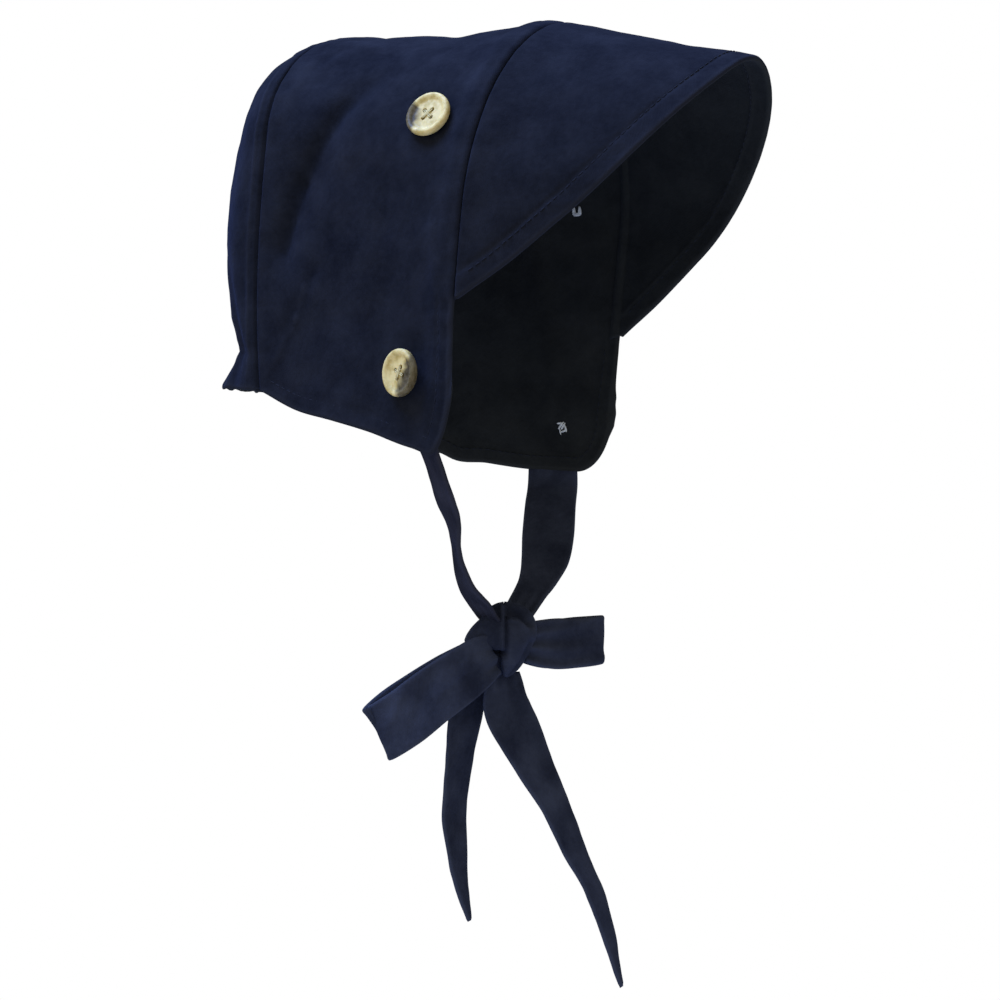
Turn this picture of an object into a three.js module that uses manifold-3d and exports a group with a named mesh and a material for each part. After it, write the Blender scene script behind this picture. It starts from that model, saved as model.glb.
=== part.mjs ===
// A child's brimmed bonnet of brushed cotton, held as on a head, its two ties knotted in a bow below it.
// Millimetres, +Z up. The face opening looks along -Y and +X is the wearer's left.
// The origin is the inside top of the crown, on the middle plane.
import * as THREE from "three";
import { mergeVertices } from "three/addons/utils/BufferGeometryUtils.js";
import Module from "manifold-3d";

const wasm = await Module();
wasm.setup();

// Walls and gaps
const CROWN_WALL = 2.0;
const BRIM_WALL = 2.6;
const TIE_WALL = 1.6;
const GAP = 0.3;

// Buttons
const BUTTON_RADIUS = 9;
const BUTTON_THICKNESS = 3.4;
const BUTTON_RIM = 1.7;
const BUTTON_WELL = 1.1;
const HOLE_RADIUS = 0.95;
const HOLE_SPACING = 2.3;

// The crown's rounded lower front corner, as a share of the crown's depth and as a height.
const CORNER_RUN = 0.17;
const CORNER_RISE = 26;
// The corner lifts the cloth by this power of the way down the side, so that little moves above the hem.
const CORNER_POWER = 3;
// The crown's cloth stands proud just behind the brim seam: how far, where and over how wide a share.
const SEAM_PUFF = 1.6;
const PUFF_PLACE = 0.93;
const PUFF_WIDTH = 0.06;
const PUFF_FADE = 0.6;
// Folds fade out toward the crown's edges, and a step in s is about twice as long as one in u.
const EDGE_CALM = 12;
const FOLD_STRETCH = 2;
// How sharply the crown's cross arches swing forward from their tops to their feet, and how much more so at
// the brim seam.
const LEAN = 2.5;
const LEAN_AT_SEAM = 1;
// The front edge's ease fades back into the crown by the first power, the brim's outer edge takes this much
// of it back, and by the last power less of it toward the brim's ends.
const EASE_POWER = 3;
const EASE_TAKEN = 1.3;
const EASE_END_POWER = 6;
// Length of a quarter of an arch, per root mean square of its half width and its fall.
const QUARTER_ARC = 1.52;

// The back panel: how far it bulges, where its rounded top ends, how full its sections are and how much its
// lower edge rises in the middle.
const BACK_BULGE = 36;
const BACK_SHOULDER = 0.3;
const BACK_ROUND = 2.2;
const BACK_HEM_RISE = 4.5;
const FLARE_WAVES = 9;

// Where the brim ends on the crown's front edge.
const BRIM_END = 0.73;
// Share of a panel over which its wall turns to lie as its neighbour's does at their seam.
const SEAM_TURN = 0.14;

// Rows and columns of each panel's grid.
const CROWN_GRID = [16, 40];
const BACK_GRID = [19, 22];
const BRIM_GRID = [8, 36];

// Cross arches of the crown, from the back seam (at 0) to the brim seam (at 1).
// topY and topZ place the arch's top, half is its half width, fall how far below the top it is widest,
// round the power of its curve, hemHalf and hemY where its foot stands.
const CROWN_ARCHES = [
  { at: 0.0, topY: 50, topZ: 5.5, half: 63, fall: 47, round: 2.0, hemHalf: 57.5, hemY: 62.5 },
  { at: 0.5, topY: 0, topZ: 2.0, half: 66, fall: 60, round: 1.93, hemHalf: 65.5, hemY: 16 },
  { at: 1.0, topY: -47.5, topZ: 1.5, half: 72, fall: 77, round: 1.92, hemHalf: 73, hemY: -30 },
];

// Height of the crown's lower edge along each side, which the cloth's weight has left uneven.
const HEM_HEIGHTS = [
  { at: 0.0, right: -142.5, left: -143.5 },
  { at: 0.2, right: -150.6, left: -166 },
  { at: 0.4, right: -155.1, left: -169.3 },
  { at: 0.6, right: -159.9, left: -172 },
  { at: 0.8, right: -165.9, left: -173 },
  { at: 1.0, right: -169, left: -174.5 },
];

// How far the slack of the cloth lets the crown's front edge hang forward on each side, from the top (at 0)
// to the hem.
const FRONT_EASE = [
  { at: 0.0, right: 0, left: 0 },
  { at: 0.3, right: 0.5, left: 1.8 },
  { at: 0.45, right: 1.5, left: 3.0 },
  { at: 0.6, right: 2.1, left: 3.6 },
  { at: 0.75, right: 2.3, left: 3.5 },
  { at: 0.87, right: 2.6, left: 2.2 },
  { at: 1.0, right: 2.4, left: 0.4 },
];

// The brim's outer edge, from its middle (at 0) to its end above the ear (at 1):
// how far it stands forward of the seam, how far down and how far in toward the middle.
// The first row mirrors the third, so that the edge runs level across the middle.
const BRIM_REACH = [
  { at: -0.25, forward: 75, down: 20.3, inward: -8.5 },
  { at: 0.0, forward: 77.5, down: 20.5, inward: 0 },
  { at: 0.25, forward: 75, down: 20.3, inward: 8.5 },
  { at: 0.45, forward: 65.5, down: 17.6, inward: 10.6 },
  { at: 0.65, forward: 49, down: 12.8, inward: 9.2 },
  { at: 0.85, forward: 24, down: 6.3, inward: 4.4 },
  { at: 1.0, forward: 1.2, down: 0.4, inward: 0 },
];

// How far the back panel stands out behind its seam, as a share of the full bulge, from its top (at 0)
// over the nape's gather (at 0.9) to the small flare below it (at 1), with the height of the flare's waves.
const BACK_LEVELS = [
  { at: 0.0, out: 0.0, wave: 0 },
  { at: 0.06, out: 0.45, wave: 0 },
  { at: 0.16, out: 0.71, wave: 0 },
  { at: 0.34, out: 0.94, wave: 0 },
  { at: 0.58, out: 1.0, wave: 0 },
  { at: 0.78, out: 0.89, wave: 0.4 },
  { at: 0.89, out: 0.7, wave: 1.0 },
  { at: 1.0, out: 1.1, wave: 2.6 },
];

// Soft folds and dents of the crown's right and left sides: a straight run between two places on the cloth
// (u from back seam to brim seam, s from the middle top at 0 to the hem at 1, negative on the right side).
const CROWN_FOLDS = [
  { u1: 0.38, s1: -0.34, u2: 0.12, s2: -0.68, width: 0.09, depth: 2.2 },
  { u1: 0.55, s1: -0.1, u2: 0.35, s2: 0.25, width: 0.1, depth: 1.6 },
  { u1: 0.4, s1: 0.4, u2: 0.15, s2: 0.7, width: 0.09, depth: 2.0 },
];

// Where each button is sewn: u and s on the crown, and how far it tips toward the back.
const BUTTON_PLACES = [
  { name: "button_right_upper", u: 0.76, s: -0.393, tip: 0 },
  { name: "button_right_lower", u: 0.79, s: -0.866, tip: 11 },
  { name: "button_left_upper", u: 0.74, s: 0.467, tip: 0 },
  { name: "button_left_lower", u: 0.767, s: 0.911, tip: 0 },
];

// The knot's middle, its half sizes along the bow, through it and upright, the bow's turn from +X seen from
// above, and the share by which its waist is drawn in over part of its height.
const KNOT = {
  x: 0, y: -16.3, z: -241.7, along: 11.5, deep: 9.5, high: 15, turn: -37, waist: 0.12, waistSpan: 0.3,
};

// Middle lines of the ties, with the strap's width and the direction its width points: across is the angle
// from +X seen from above, rise the angle above the level.
const RIGHT_TIE = [
  { x: -66.9, y: -15.8, z: -149, width: 17, across: 84, rise: 0 },
  { x: -65.9, y: -17.8, z: -157, width: 17, across: 70, rise: 0 },
  { x: -63.1, y: -19.1, z: -166, width: 18, across: 50, rise: 0 },
  { x: -58.2, y: -20.0, z: -178.7, width: 19, across: 43, rise: 0 },
  { x: -50.1, y: -19.1, z: -189.5, width: 19, across: 41, rise: 0 },
  { x: -42.1, y: -17.0, z: -199.7, width: 19, across: 39, rise: 0 },
  { x: -30.1, y: -14.4, z: -213.5, width: 18, across: 44, rise: 0 },
  { x: -21.3, y: -13.6, z: -222.3, width: 16, across: 55, rise: 0 },
  { x: -12.7, y: -14.4, z: -229.5, width: 12, across: 66, rise: 0 },
  { x: -5.0, y: -16.0, z: -237.5, width: 9, across: 80, rise: 0 },
];
const LEFT_TIE = [
  { x: 68.3, y: -4.4, z: -174.2, width: 22, across: -80, rise: 0 },
  { x: 66.4, y: -5.2, z: -179.5, width: 22, across: -76, rise: 0 },
  { x: 60.0, y: -7.4, z: -187, width: 22, across: -70, rise: 0 },
  { x: 48.5, y: -12.0, z: -200.7, width: 22, across: -62, rise: 0 },
  { x: 38.5, y: -15.6, z: -210.6, width: 20, across: -60, rise: 0 },
  { x: 28.0, y: -17.6, z: -218.6, width: 16, across: -58, rise: 0 },
  { x: 19.0, y: -18.1, z: -224.4, width: 12, across: -58, rise: 0 },
  { x: 7.0, y: -17.5, z: -234, width: 9, across: -60, rise: 0 },
];
// The bow's loops, along, deep and high from the knot's middle in the knot's own turned frame.
const RIGHT_LOOP = [
  { along: -3, deep: -4.5, high: -5, width: 9, across: 118, rise: 70 },
  { along: -11, deep: -6.0, high: -7, width: 13, across: 118, rise: 68 },
  { along: -21, deep: -6.5, high: -13.5, width: 19, across: 118, rise: 65 },
  { along: -34, deep: -6.0, high: -22.2, width: 20, across: 118, rise: 65 },
  { along: -45, deep: -4.0, high: -30.2, width: 21, across: 118, rise: 65 },
  { along: -52, deep: 0.0, high: -34.6, width: 21, across: 118, rise: 65 },
  { along: -46, deep: 3.5, high: -27.8, width: 21, across: 118, rise: 65 },
  { along: -34, deep: 5.0, high: -17.6, width: 19, across: 118, rise: 65 },
  { along: -21, deep: 4.5, high: -8.6, width: 15, across: 118, rise: 68 },
  { along: -11, deep: 3.5, high: -2, width: 11, across: 118, rise: 72 },
  { along: -3, deep: 2.5, high: 0, width: 8, across: 118, rise: 75 },
];
const LEFT_LOOP = [
  { along: 3, deep: -3, high: 0, width: 9, across: 0, rise: 88 },
  { along: 11, deep: -4, high: -1.5, width: 15, across: 0, rise: 88 },
  { along: 21, deep: -4, high: -2.6, width: 20, across: 0, rise: 88 },
  { along: 33, deep: -3.2, high: -2.2, width: 20, across: 0, rise: 88 },
  { along: 41, deep: -2, high: -1.5, width: 20, across: 0, rise: 88 },
  { along: 45, deep: 0.5, high: -1.2, width: 20, across: 0, rise: 88 },
  { along: 41, deep: 3, high: -1.5, width: 20, across: 0, rise: 88 },
  { along: 32, deep: 4, high: -2.0, width: 20, across: 0, rise: 88 },
  { along: 20, deep: 4, high: -2.4, width: 18, across: 0, rise: 88 },
  { along: 10, deep: 3, high: -1.5, width: 12, across: 0, rise: 88 },
  { along: 3, deep: 2, high: 0, width: 8, across: 0, rise: 88 },
];
const RIGHT_TAIL = [
  { x: 0.0, y: -9.2, z: -249, width: 7, across: -12, rise: 0 },
  { x: -1.9, y: -4.8, z: -257, width: 12, across: -20, rise: 0 },
  { x: -3.7, y: -2.2, z: -268, width: 18, across: -20, rise: 0 },
  { x: -6.3, y: -1.0, z: -280, width: 19, across: -11, rise: 0 },
  { x: -8.3, y: 0.4, z: -298.4, width: 18, across: -5, rise: 0 },
  { x: -9.1, y: 1.2, z: -310.8, width: 17, across: -5, rise: 0 },
  { x: -8.8, y: 0.4, z: -322.9, width: 14.5, across: -5, rise: 0 },
  { x: -8.4, y: -0.5, z: -334.1, width: 11.5, across: -5, rise: 0 },
  { x: -7.4, y: -2.3, z: -344.5, width: 7.5, across: -5, rise: 0 },
  { x: -6.5, y: -4.1, z: -354.6, width: 2.4, across: -5, rise: 0 },
];
const LEFT_TAIL = [
  { x: 0.6, y: -16.0, z: -248, width: 11, across: -22, rise: 0 },
  { x: 0.2, y: -16.8, z: -258, width: 16, across: -34, rise: 0 },
  { x: -0.2, y: -17.8, z: -268, width: 20.5, across: -37, rise: 0 },
  { x: 3.1, y: -22.1, z: -279.9, width: 21, across: -32, rise: 0 },
  { x: 7.1, y: -29.6, z: -296.8, width: 19, across: -20, rise: 0 },
  { x: 10.3, y: -35.6, z: -310.8, width: 16.5, across: -12, rise: 0 },
  { x: 13.5, y: -41.6, z: -326.1, width: 15.5, across: -8, rise: 0 },
  { x: 16.1, y: -46.6, z: -338.1, width: 14, across: -2, rise: 0 },
  { x: 18.0, y: -50.2, z: -347.8, width: 12, across: -5, rise: 0 },
  { x: 20.3, y: -54.4, z: -364.2, width: 8, across: -8, rise: 0 },
  { x: 22.2, y: -58.0, z: -381.1, width: 2.4, across: -8, rise: 0 },
];

const NAVY = new THREE.Color(0x1c2038);
const HORN = new THREE.Color(0xcdb98f);

function clothMaterial() {
  return new THREE.MeshStandardMaterial({ color: NAVY, roughness: 0.92, metalness: 0 });
}

function hornMaterial() {
  return new THREE.MeshStandardMaterial({ color: HORN, roughness: 0.38, metalness: 0 });
}

// A smooth curve through one column of a table, read at a place between its rows.
function between(rows, at, column) {
  const last = rows.length - 1;
  let i = 0;
  while (i < last - 1 && at > rows[i + 1].at) i += 1;
  const slope = (k) => {
    const a = rows[Math.max(k - 1, 0)];
    const b = rows[Math.min(k + 1, last)];
    return (b[column] - a[column]) / (b.at - a.at);
  };
  const span = rows[i + 1].at - rows[i].at;
  const t = (at - rows[i].at) / span;
  const t2 = t * t;
  const t3 = t2 * t;
  const start = (2 * t3 - 3 * t2 + 1) * rows[i][column] + (t3 - 2 * t2 + t) * span * slope(i);
  return start + (3 * t2 - 2 * t3) * rows[i + 1][column] + (t3 - t2) * span * slope(i + 1);
}

// How far a point of the crown is pushed in by the folds and out by the puff at the brim seam.
function foldDepth(u, s) {
  const puff = Math.exp(-(((u - PUFF_PLACE) / PUFF_WIDTH) ** 2));
  let depth = -SEAM_PUFF * puff * (1 - PUFF_FADE * Math.abs(s));
  for (const fold of CROWN_FOLDS) {
    const du = fold.u2 - fold.u1;
    const ds = fold.s2 - fold.s1;
    const along = ((u - fold.u1) * du + (s - fold.s1) * ds) / (du * du + ds * ds);
    const held = Math.min(Math.max(along, 0), 1);
    const off = Math.hypot(u - fold.u1 - held * du, (s - fold.s1 - held * ds) * FOLD_STRETCH);
    depth += fold.depth * Math.exp(-((off / fold.width) ** 2));
  }
  return depth;
}

// How far forward the front edge hangs at s.
function frontEase(s) {
  return between(FRONT_EASE, Math.abs(s), s < 0 ? "right" : "left");
}

// The crown's outer face: u from the back seam (0) to the brim seam (1), s from the right hem (-1) over the
// top (0) to the left hem (1).
function crownFace(u, s) {
  const row = (column) => between(CROWN_ARCHES, u, column);
  const hem = between(HEM_HEIGHTS, u, s < 0 ? "right" : "left");
  const corner = Math.min(Math.max((u - 1 + CORNER_RUN) / CORNER_RUN, 0), 1);
  const rise = CORNER_RISE * (1 - Math.sqrt(1 - corner * corner));
  const topZ = row("topZ");
  const half = row("half");
  const fall = row("fall");
  const round = row("round");
  const quarter = QUARTER_ARC * Math.sqrt((half * half + fall * fall) / 2);
  const side = topZ - fall - hem;
  const shoulder = quarter / (quarter + side);
  const run = Math.abs(s);
  let x = 0;
  let z = 0;
  if (run <= shoulder) {
    const turn = (run / shoulder) * (Math.PI / 2);
    x = half * Math.sin(turn) ** (2 / round);
    z = topZ - fall * (1 - Math.max(Math.cos(turn), 0) ** (2 / round));
  } else {
    const down = (run - shoulder) / (1 - shoulder);
    x = half + (row("hemHalf") - half) * down * down;
    z = topZ - fall - side * down + rise * down ** CORNER_POWER;
  }
  const lean = LEAN + LEAN_AT_SEAM * corner * corner;
  const y = row("topY") + (row("hemY") - row("topY")) * (1 - (1 - run * run) ** lean);
  return new THREE.Vector3(x * Math.sign(s), y - frontEase(s) * u ** EASE_POWER, z);
}

// The direction out of a face at (a, b), from two short steps along it.
function outward(face, a, b, step = 0.004) {
  const a1 = Math.max(a - step, 0);
  const a2 = Math.min(a + step, 1);
  const b1 = Math.max(b - step, -1);
  const b2 = Math.min(b + step, 1);
  const alongA = face(a2, b).sub(face(a1, b));
  const alongB = face(a, b2).sub(face(a, b1));
  return alongA.cross(alongB).normalize();
}

function crownOutward(u, s) {
  return outward(crownFace, u, s);
}

function crownOuter(u, s) {
  const edge = Math.min(1, (1 - Math.abs(s)) * EDGE_CALM, u * EDGE_CALM);
  return crownFace(u, s).addScaledVector(crownOutward(u, s), -foldDepth(u, s) * edge);
}

// The brim's outer face: w from the seam (0) to the outer edge (1), v from its right end (-1) to its
// left (1).
function brimFace(w, v) {
  const seam = crownOuter(1, v * BRIM_END);
  seam.y -= GAP;
  const t = Math.abs(v);
  const reach = (column) => between(BRIM_REACH, t, column);
  const taken = EASE_TAKEN * frontEase(v * BRIM_END) * (1 - t ** EASE_END_POWER);
  return seam.add(new THREE.Vector3(
    -Math.sign(v) * reach("inward") * w,
    (taken - reach("forward")) * w,
    -reach("down") * w,
  ));
}

// The back panel's outer face: b from its top (0) to the nape's edge (1), a from its right seam (-1) to its
// left (1). Its rim follows the crown's back edge.
function backFace(b, a) {
  const s = BACK_SHOULDER + (1 - BACK_SHOULDER) * b;
  const across = (a + 1) / 2;
  const top = crownFace(0, a * BACK_SHOULDER);
  const right = crownFace(0, -s);
  const left = crownFace(0, s);
  const hemRight = crownFace(0, -1);
  const hemLeft = crownFace(0, 1);
  const point = top.multiplyScalar(1 - b)
    .addScaledVector(hemRight, (1 - across) * b)
    .addScaledVector(hemLeft, across * b)
    .addScaledVector(right, 1 - across)
    .addScaledVector(left, across)
    .addScaledVector(crownFace(0, -BACK_SHOULDER), -(1 - across) * (1 - b))
    .addScaledVector(crownFace(0, BACK_SHOULDER), -across * (1 - b))
    .addScaledVector(hemRight, -(1 - across) * b)
    .addScaledVector(hemLeft, -across * b);
  const arch = Math.sqrt(Math.max(1 - Math.abs(a) ** BACK_ROUND, 0));
  const wave = between(BACK_LEVELS, b, "wave") * Math.sin(FLARE_WAVES * Math.PI * (a + 1) / 2) ** 2;
  point.y += GAP + BACK_BULGE * arch * between(BACK_LEVELS, b, "out") + wave * arch;
  point.z += BACK_HEM_RISE * arch * b * b;
  return point;
}

// A closed body from its corner points and faces, turned inside out if its faces point in.
function closedGeometry(points, faces) {
  let volume = 0;
  for (const [i, j, k] of faces) {
    volume += points[i].dot(new THREE.Vector3().crossVectors(points[j], points[k]));
  }
  const turned = volume > 0 ? faces : faces.map(([i, j, k]) => [i, k, j]);
  const geometry = new THREE.BufferGeometry();
  geometry.setAttribute("position", new THREE.Float32BufferAttribute(points.flatMap((p) => p.toArray()), 3));
  geometry.setIndex(turned.flat());
  return geometry;
}

// A wall of cloth: the outer face over a grid, the inner face one thickness further in, and closed edges.
// outwardAt gives the way out at each place, against which the thickness is measured.
function clothWall(face, [stepsA, stepsB], thickness, outwardAt) {
  const points = [];
  const index = (layer, i, j) => (layer * (stepsA + 1) + i) * (stepsB + 1) + j;
  for (const layer of [0, 1]) {
    for (let i = 0; i <= stepsA; i += 1) {
      for (let j = 0; j <= stepsB; j += 1) {
        const a = i / stepsA;
        const b = -1 + (2 * j) / stepsB;
        const point = face(a, b);
        if (layer === 1) point.addScaledVector(outwardAt(a, b), -thickness);
        points.push(point);
      }
    }
  }
  const faces = [];
  const quad = (p, q, r, s) => faces.push([p, q, r], [p, r, s]);
  for (let i = 0; i < stepsA; i += 1) {
    for (let j = 0; j < stepsB; j += 1) {
      quad(index(0, i, j), index(0, i + 1, j), index(0, i + 1, j + 1), index(0, i, j + 1));
      quad(index(1, i, j), index(1, i, j + 1), index(1, i + 1, j + 1), index(1, i + 1, j));
    }
  }
  for (let i = 0; i < stepsA; i += 1) {
    quad(index(0, i, 0), index(1, i, 0), index(1, i + 1, 0), index(0, i + 1, 0));
    quad(index(0, i, stepsB), index(0, i + 1, stepsB), index(1, i + 1, stepsB), index(1, i, stepsB));
  }
  for (let j = 0; j < stepsB; j += 1) {
    quad(index(0, 0, j), index(0, 0, j + 1), index(1, 0, j + 1), index(1, 0, j));
    quad(index(0, stepsA, j), index(1, stepsA, j), index(1, stepsA, j + 1), index(0, stepsA, j + 1));
  }
  return closedGeometry(points, faces);
}

// A flat strap along a table of stations, with square edges and closed ends.
function strap(stations, steps) {
  const path = new THREE.CatmullRomCurve3(
    stations.map((row) => new THREE.Vector3(row.x, row.y, row.z)), false, "centripetal");
  const rows = stations.map((row, i) => ({ ...row, at: i / (stations.length - 1) }));
  const points = [];
  for (let i = 0; i <= steps; i += 1) {
    const t = i / steps;
    const centre = path.getPoint(t);
    const along = path.getTangent(t);
    const across = THREE.MathUtils.degToRad(between(rows, t, "across"));
    const rise = THREE.MathUtils.degToRad(between(rows, t, "rise"));
    const wide = new THREE.Vector3(
      Math.cos(rise) * Math.cos(across), Math.cos(rise) * Math.sin(across), Math.sin(rise));
    wide.addScaledVector(along, -wide.dot(along)).normalize();
    const thick = new THREE.Vector3().crossVectors(along, wide).normalize();
    const halfWidth = between(rows, t, "width") / 2;
    for (const [p, q] of [[-1, -1], [1, -1], [1, 1], [-1, 1]]) {
      points.push(centre.clone()
        .addScaledVector(wide, p * halfWidth)
        .addScaledVector(thick, (q * TIE_WALL) / 2));
    }
  }
  const faces = [];
  for (let i = 0; i < steps; i += 1) {
    for (let k = 0; k < 4; k += 1) {
      const here = 4 * i + k;
      const next = 4 * i + ((k + 1) % 4);
      faces.push([here, next, next + 4], [here, next + 4, here + 4]);
    }
  }
  const end = 4 * steps;
  faces.push([0, 2, 1], [0, 3, 2], [end, end + 1, end + 2], [end, end + 2, end + 3]);
  return closedGeometry(points, faces);
}

// Stations given in the knot's frame, moved to where the knot is.
function fromKnot(stations) {
  const turn = THREE.MathUtils.degToRad(KNOT.turn);
  const cos = Math.cos(turn);
  const sin = Math.sin(turn);
  return stations.map((row) => ({
    ...row,
    x: KNOT.x + row.along * cos - row.deep * sin,
    y: KNOT.y + row.along * sin + row.deep * cos,
    z: KNOT.z + row.high,
  }));
}

// The knot: a rounded bundle with a soft waist where the last turn of the tie binds it.
function knotGeometry(margin) {
  const ball = new THREE.SphereGeometry(1, 20, 12);
  ball.deleteAttribute("normal");
  ball.deleteAttribute("uv");
  const geometry = mergeVertices(ball, 1e-4);
  const place = geometry.getAttribute("position");
  for (let i = 0; i < place.count; i += 1) {
    const waist = 1 - KNOT.waist * Math.exp(-((place.getZ(i) / KNOT.waistSpan) ** 2));
    place.setX(i, place.getX(i) * (KNOT.along + margin) * waist);
    place.setY(i, place.getY(i) * (KNOT.deep + margin));
    place.setZ(i, place.getZ(i) * (KNOT.high + margin));
  }
  geometry.rotateZ(THREE.MathUtils.degToRad(KNOT.turn));
  geometry.translate(KNOT.x, KNOT.y, KNOT.z);
  return geometry;
}

function solidOf(geometry) {
  return new wasm.Manifold(new wasm.Mesh({
    numProp: 3,
    vertProperties: Float32Array.from(geometry.getAttribute("position").array),
    triVerts: Uint32Array.from(geometry.getIndex().array),
  }));
}

function geometryOf(solid) {
  const mesh = solid.getMesh();
  const geometry = new THREE.BufferGeometry();
  geometry.setAttribute("position", new THREE.BufferAttribute(Float32Array.from(mesh.vertProperties), 3));
  geometry.setIndex(new THREE.BufferAttribute(Uint32Array.from(mesh.triVerts), 1));
  return geometry;
}

// A strap whose end runs up to the knot and stops a gap short of it.
function strapToKnot(stations, steps) {
  const around = solidOf(knotGeometry(GAP));
  return geometryOf(solidOf(strap(stations, steps)).subtract(around));
}

// A four-hole button: a turned disc with a raised rim round a shallow well, its back at z = 0.
const BUTTON_OUTLINE = [
  [0, 0],
  [BUTTON_RADIUS - 1.2, 0],
  [BUTTON_RADIUS, 1.1],
  [BUTTON_RADIUS, BUTTON_THICKNESS - 0.8],
  [BUTTON_RADIUS - 0.7, BUTTON_THICKNESS],
  [BUTTON_RADIUS - BUTTON_RIM, BUTTON_THICKNESS - 0.2],
  [BUTTON_RADIUS - BUTTON_RIM - 1.4, BUTTON_THICKNESS - BUTTON_WELL],
  [0, BUTTON_THICKNESS - BUTTON_WELL],
];

function buttonGeometry() {
  const turned = new THREE.LatheGeometry(BUTTON_OUTLINE.map(([x, y]) => new THREE.Vector2(x, y)), 24);
  turned.rotateX(Math.PI / 2);
  turned.deleteAttribute("normal");
  turned.deleteAttribute("uv");
  let button = solidOf(mergeVertices(turned, 1e-4));
  for (const degrees of [45, 135, 225, 315]) {
    const angle = THREE.MathUtils.degToRad(degrees);
    const hole = new THREE.CylinderGeometry(HOLE_RADIUS, HOLE_RADIUS, BUTTON_THICKNESS * 3, 8);
    hole.rotateX(Math.PI / 2);
    hole.translate(HOLE_SPACING * Math.cos(angle), HOLE_SPACING * Math.sin(angle), 0);
    hole.deleteAttribute("normal");
    hole.deleteAttribute("uv");
    button = button.subtract(solidOf(mergeVertices(hole, 1e-4)));
  }
  return geometryOf(button);
}

const bonnet = new THREE.Group();

function addPiece(name, geometry, material) {
  const mesh = new THREE.Mesh(geometry, material);
  mesh.name = name;
  bonnet.add(mesh);
  return mesh;
}

// The crown's rows stand closer toward the brim seam, where its lower corner turns.
const crownRow = (t) => 1 - (1 - t) ** 1.5;
const crownAtRow = (t, s) => crownOuter(crownRow(t), s);
const crownOutwardAtRow = (t, s) => crownOutward(crownRow(t), s);
addPiece("crown_panel", clothWall(crownAtRow, CROWN_GRID, CROWN_WALL, crownOutwardAtRow), clothMaterial());

// How much of the neighbour's direction a wall takes, from none to all of it at the seam itself.
function seamShare(nearness) {
  return Math.max((nearness - 1 + SEAM_TURN) / SEAM_TURN, 0);
}

function backOutward(b, a) {
  const atSeam = crownOutward(0, a * (BACK_SHOULDER + (1 - BACK_SHOULDER) * b));
  const share = seamShare(Math.max(Math.abs(a), 1 - b));
  return outward(backFace, b, a).negate().lerp(atSeam, share).normalize();
}
addPiece("back_panel", clothWall(backFace, BACK_GRID, CROWN_WALL, backOutward), clothMaterial());

function brimOutward(w, v) {
  const atSeam = crownOutward(1, v * BRIM_END);
  const share = seamShare(Math.max(Math.abs(v), 1 - w));
  return outward(brimFace, w, v).lerp(atSeam, share).normalize();
}
addPiece("brim", clothWall(brimFace, BRIM_GRID, BRIM_WALL, brimOutward), clothMaterial());

// Each button lies on the cloth and tips about the upright by its own angle.
for (const place of BUTTON_PLACES) {
  const out = crownOutward(place.u, place.s);
  const tip = THREE.MathUtils.degToRad(place.tip);
  const lift = GAP + BUTTON_RADIUS * Math.sin(tip);
  const facing = out.clone().applyAxisAngle(new THREE.Vector3(0, 0, 1), tip * Math.sign(place.s));
  const button = addPiece(place.name, buttonGeometry(), hornMaterial());
  button.position.copy(crownOuter(place.u, place.s)).addScaledVector(out, lift);
  button.quaternion.setFromUnitVectors(new THREE.Vector3(0, 0, 1), facing);
}

addPiece("knot", knotGeometry(0), clothMaterial());
const STRAPS = [
  { name: "right_tie", stations: RIGHT_TIE, steps: 30 },
  { name: "left_tie", stations: LEFT_TIE, steps: 28 },
  { name: "right_loop", stations: fromKnot(RIGHT_LOOP), steps: 38 },
  { name: "left_loop", stations: fromKnot(LEFT_LOOP), steps: 38 },
  { name: "right_tail", stations: RIGHT_TAIL, steps: 24 },
  { name: "left_tail", stations: LEFT_TAIL, steps: 28 },
];
for (const { name, stations, steps } of STRAPS) {
  addPiece(name, strapToKnot(stations, steps), clothMaterial());
}

export default bonnet;
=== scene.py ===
# A child's brimmed bonnet of brushed navy cotton, with horn buttons at its sides and flat ties in a bow.
# Tables and shapes are in millimetres in the part's own frame: the origin is the inside top of the crown,
# -Y looks out of the face opening and +X is the wearer's left. Meshes are made in metres.
import math

import bmesh
import bpy
from mathutils import Matrix, Vector, kdtree, noise


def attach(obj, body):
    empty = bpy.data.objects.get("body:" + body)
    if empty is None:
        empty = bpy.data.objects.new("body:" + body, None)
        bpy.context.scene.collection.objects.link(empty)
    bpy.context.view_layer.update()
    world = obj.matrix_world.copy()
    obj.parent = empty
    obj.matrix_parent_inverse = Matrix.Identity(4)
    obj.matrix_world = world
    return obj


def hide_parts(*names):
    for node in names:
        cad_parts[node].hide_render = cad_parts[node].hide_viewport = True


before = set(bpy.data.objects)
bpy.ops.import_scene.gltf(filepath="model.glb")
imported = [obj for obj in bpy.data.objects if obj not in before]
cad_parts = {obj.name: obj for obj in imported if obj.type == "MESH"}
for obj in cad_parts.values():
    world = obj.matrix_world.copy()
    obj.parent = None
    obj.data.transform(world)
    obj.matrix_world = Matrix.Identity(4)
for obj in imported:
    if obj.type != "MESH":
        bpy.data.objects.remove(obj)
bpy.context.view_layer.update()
MM = 0.001

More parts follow.
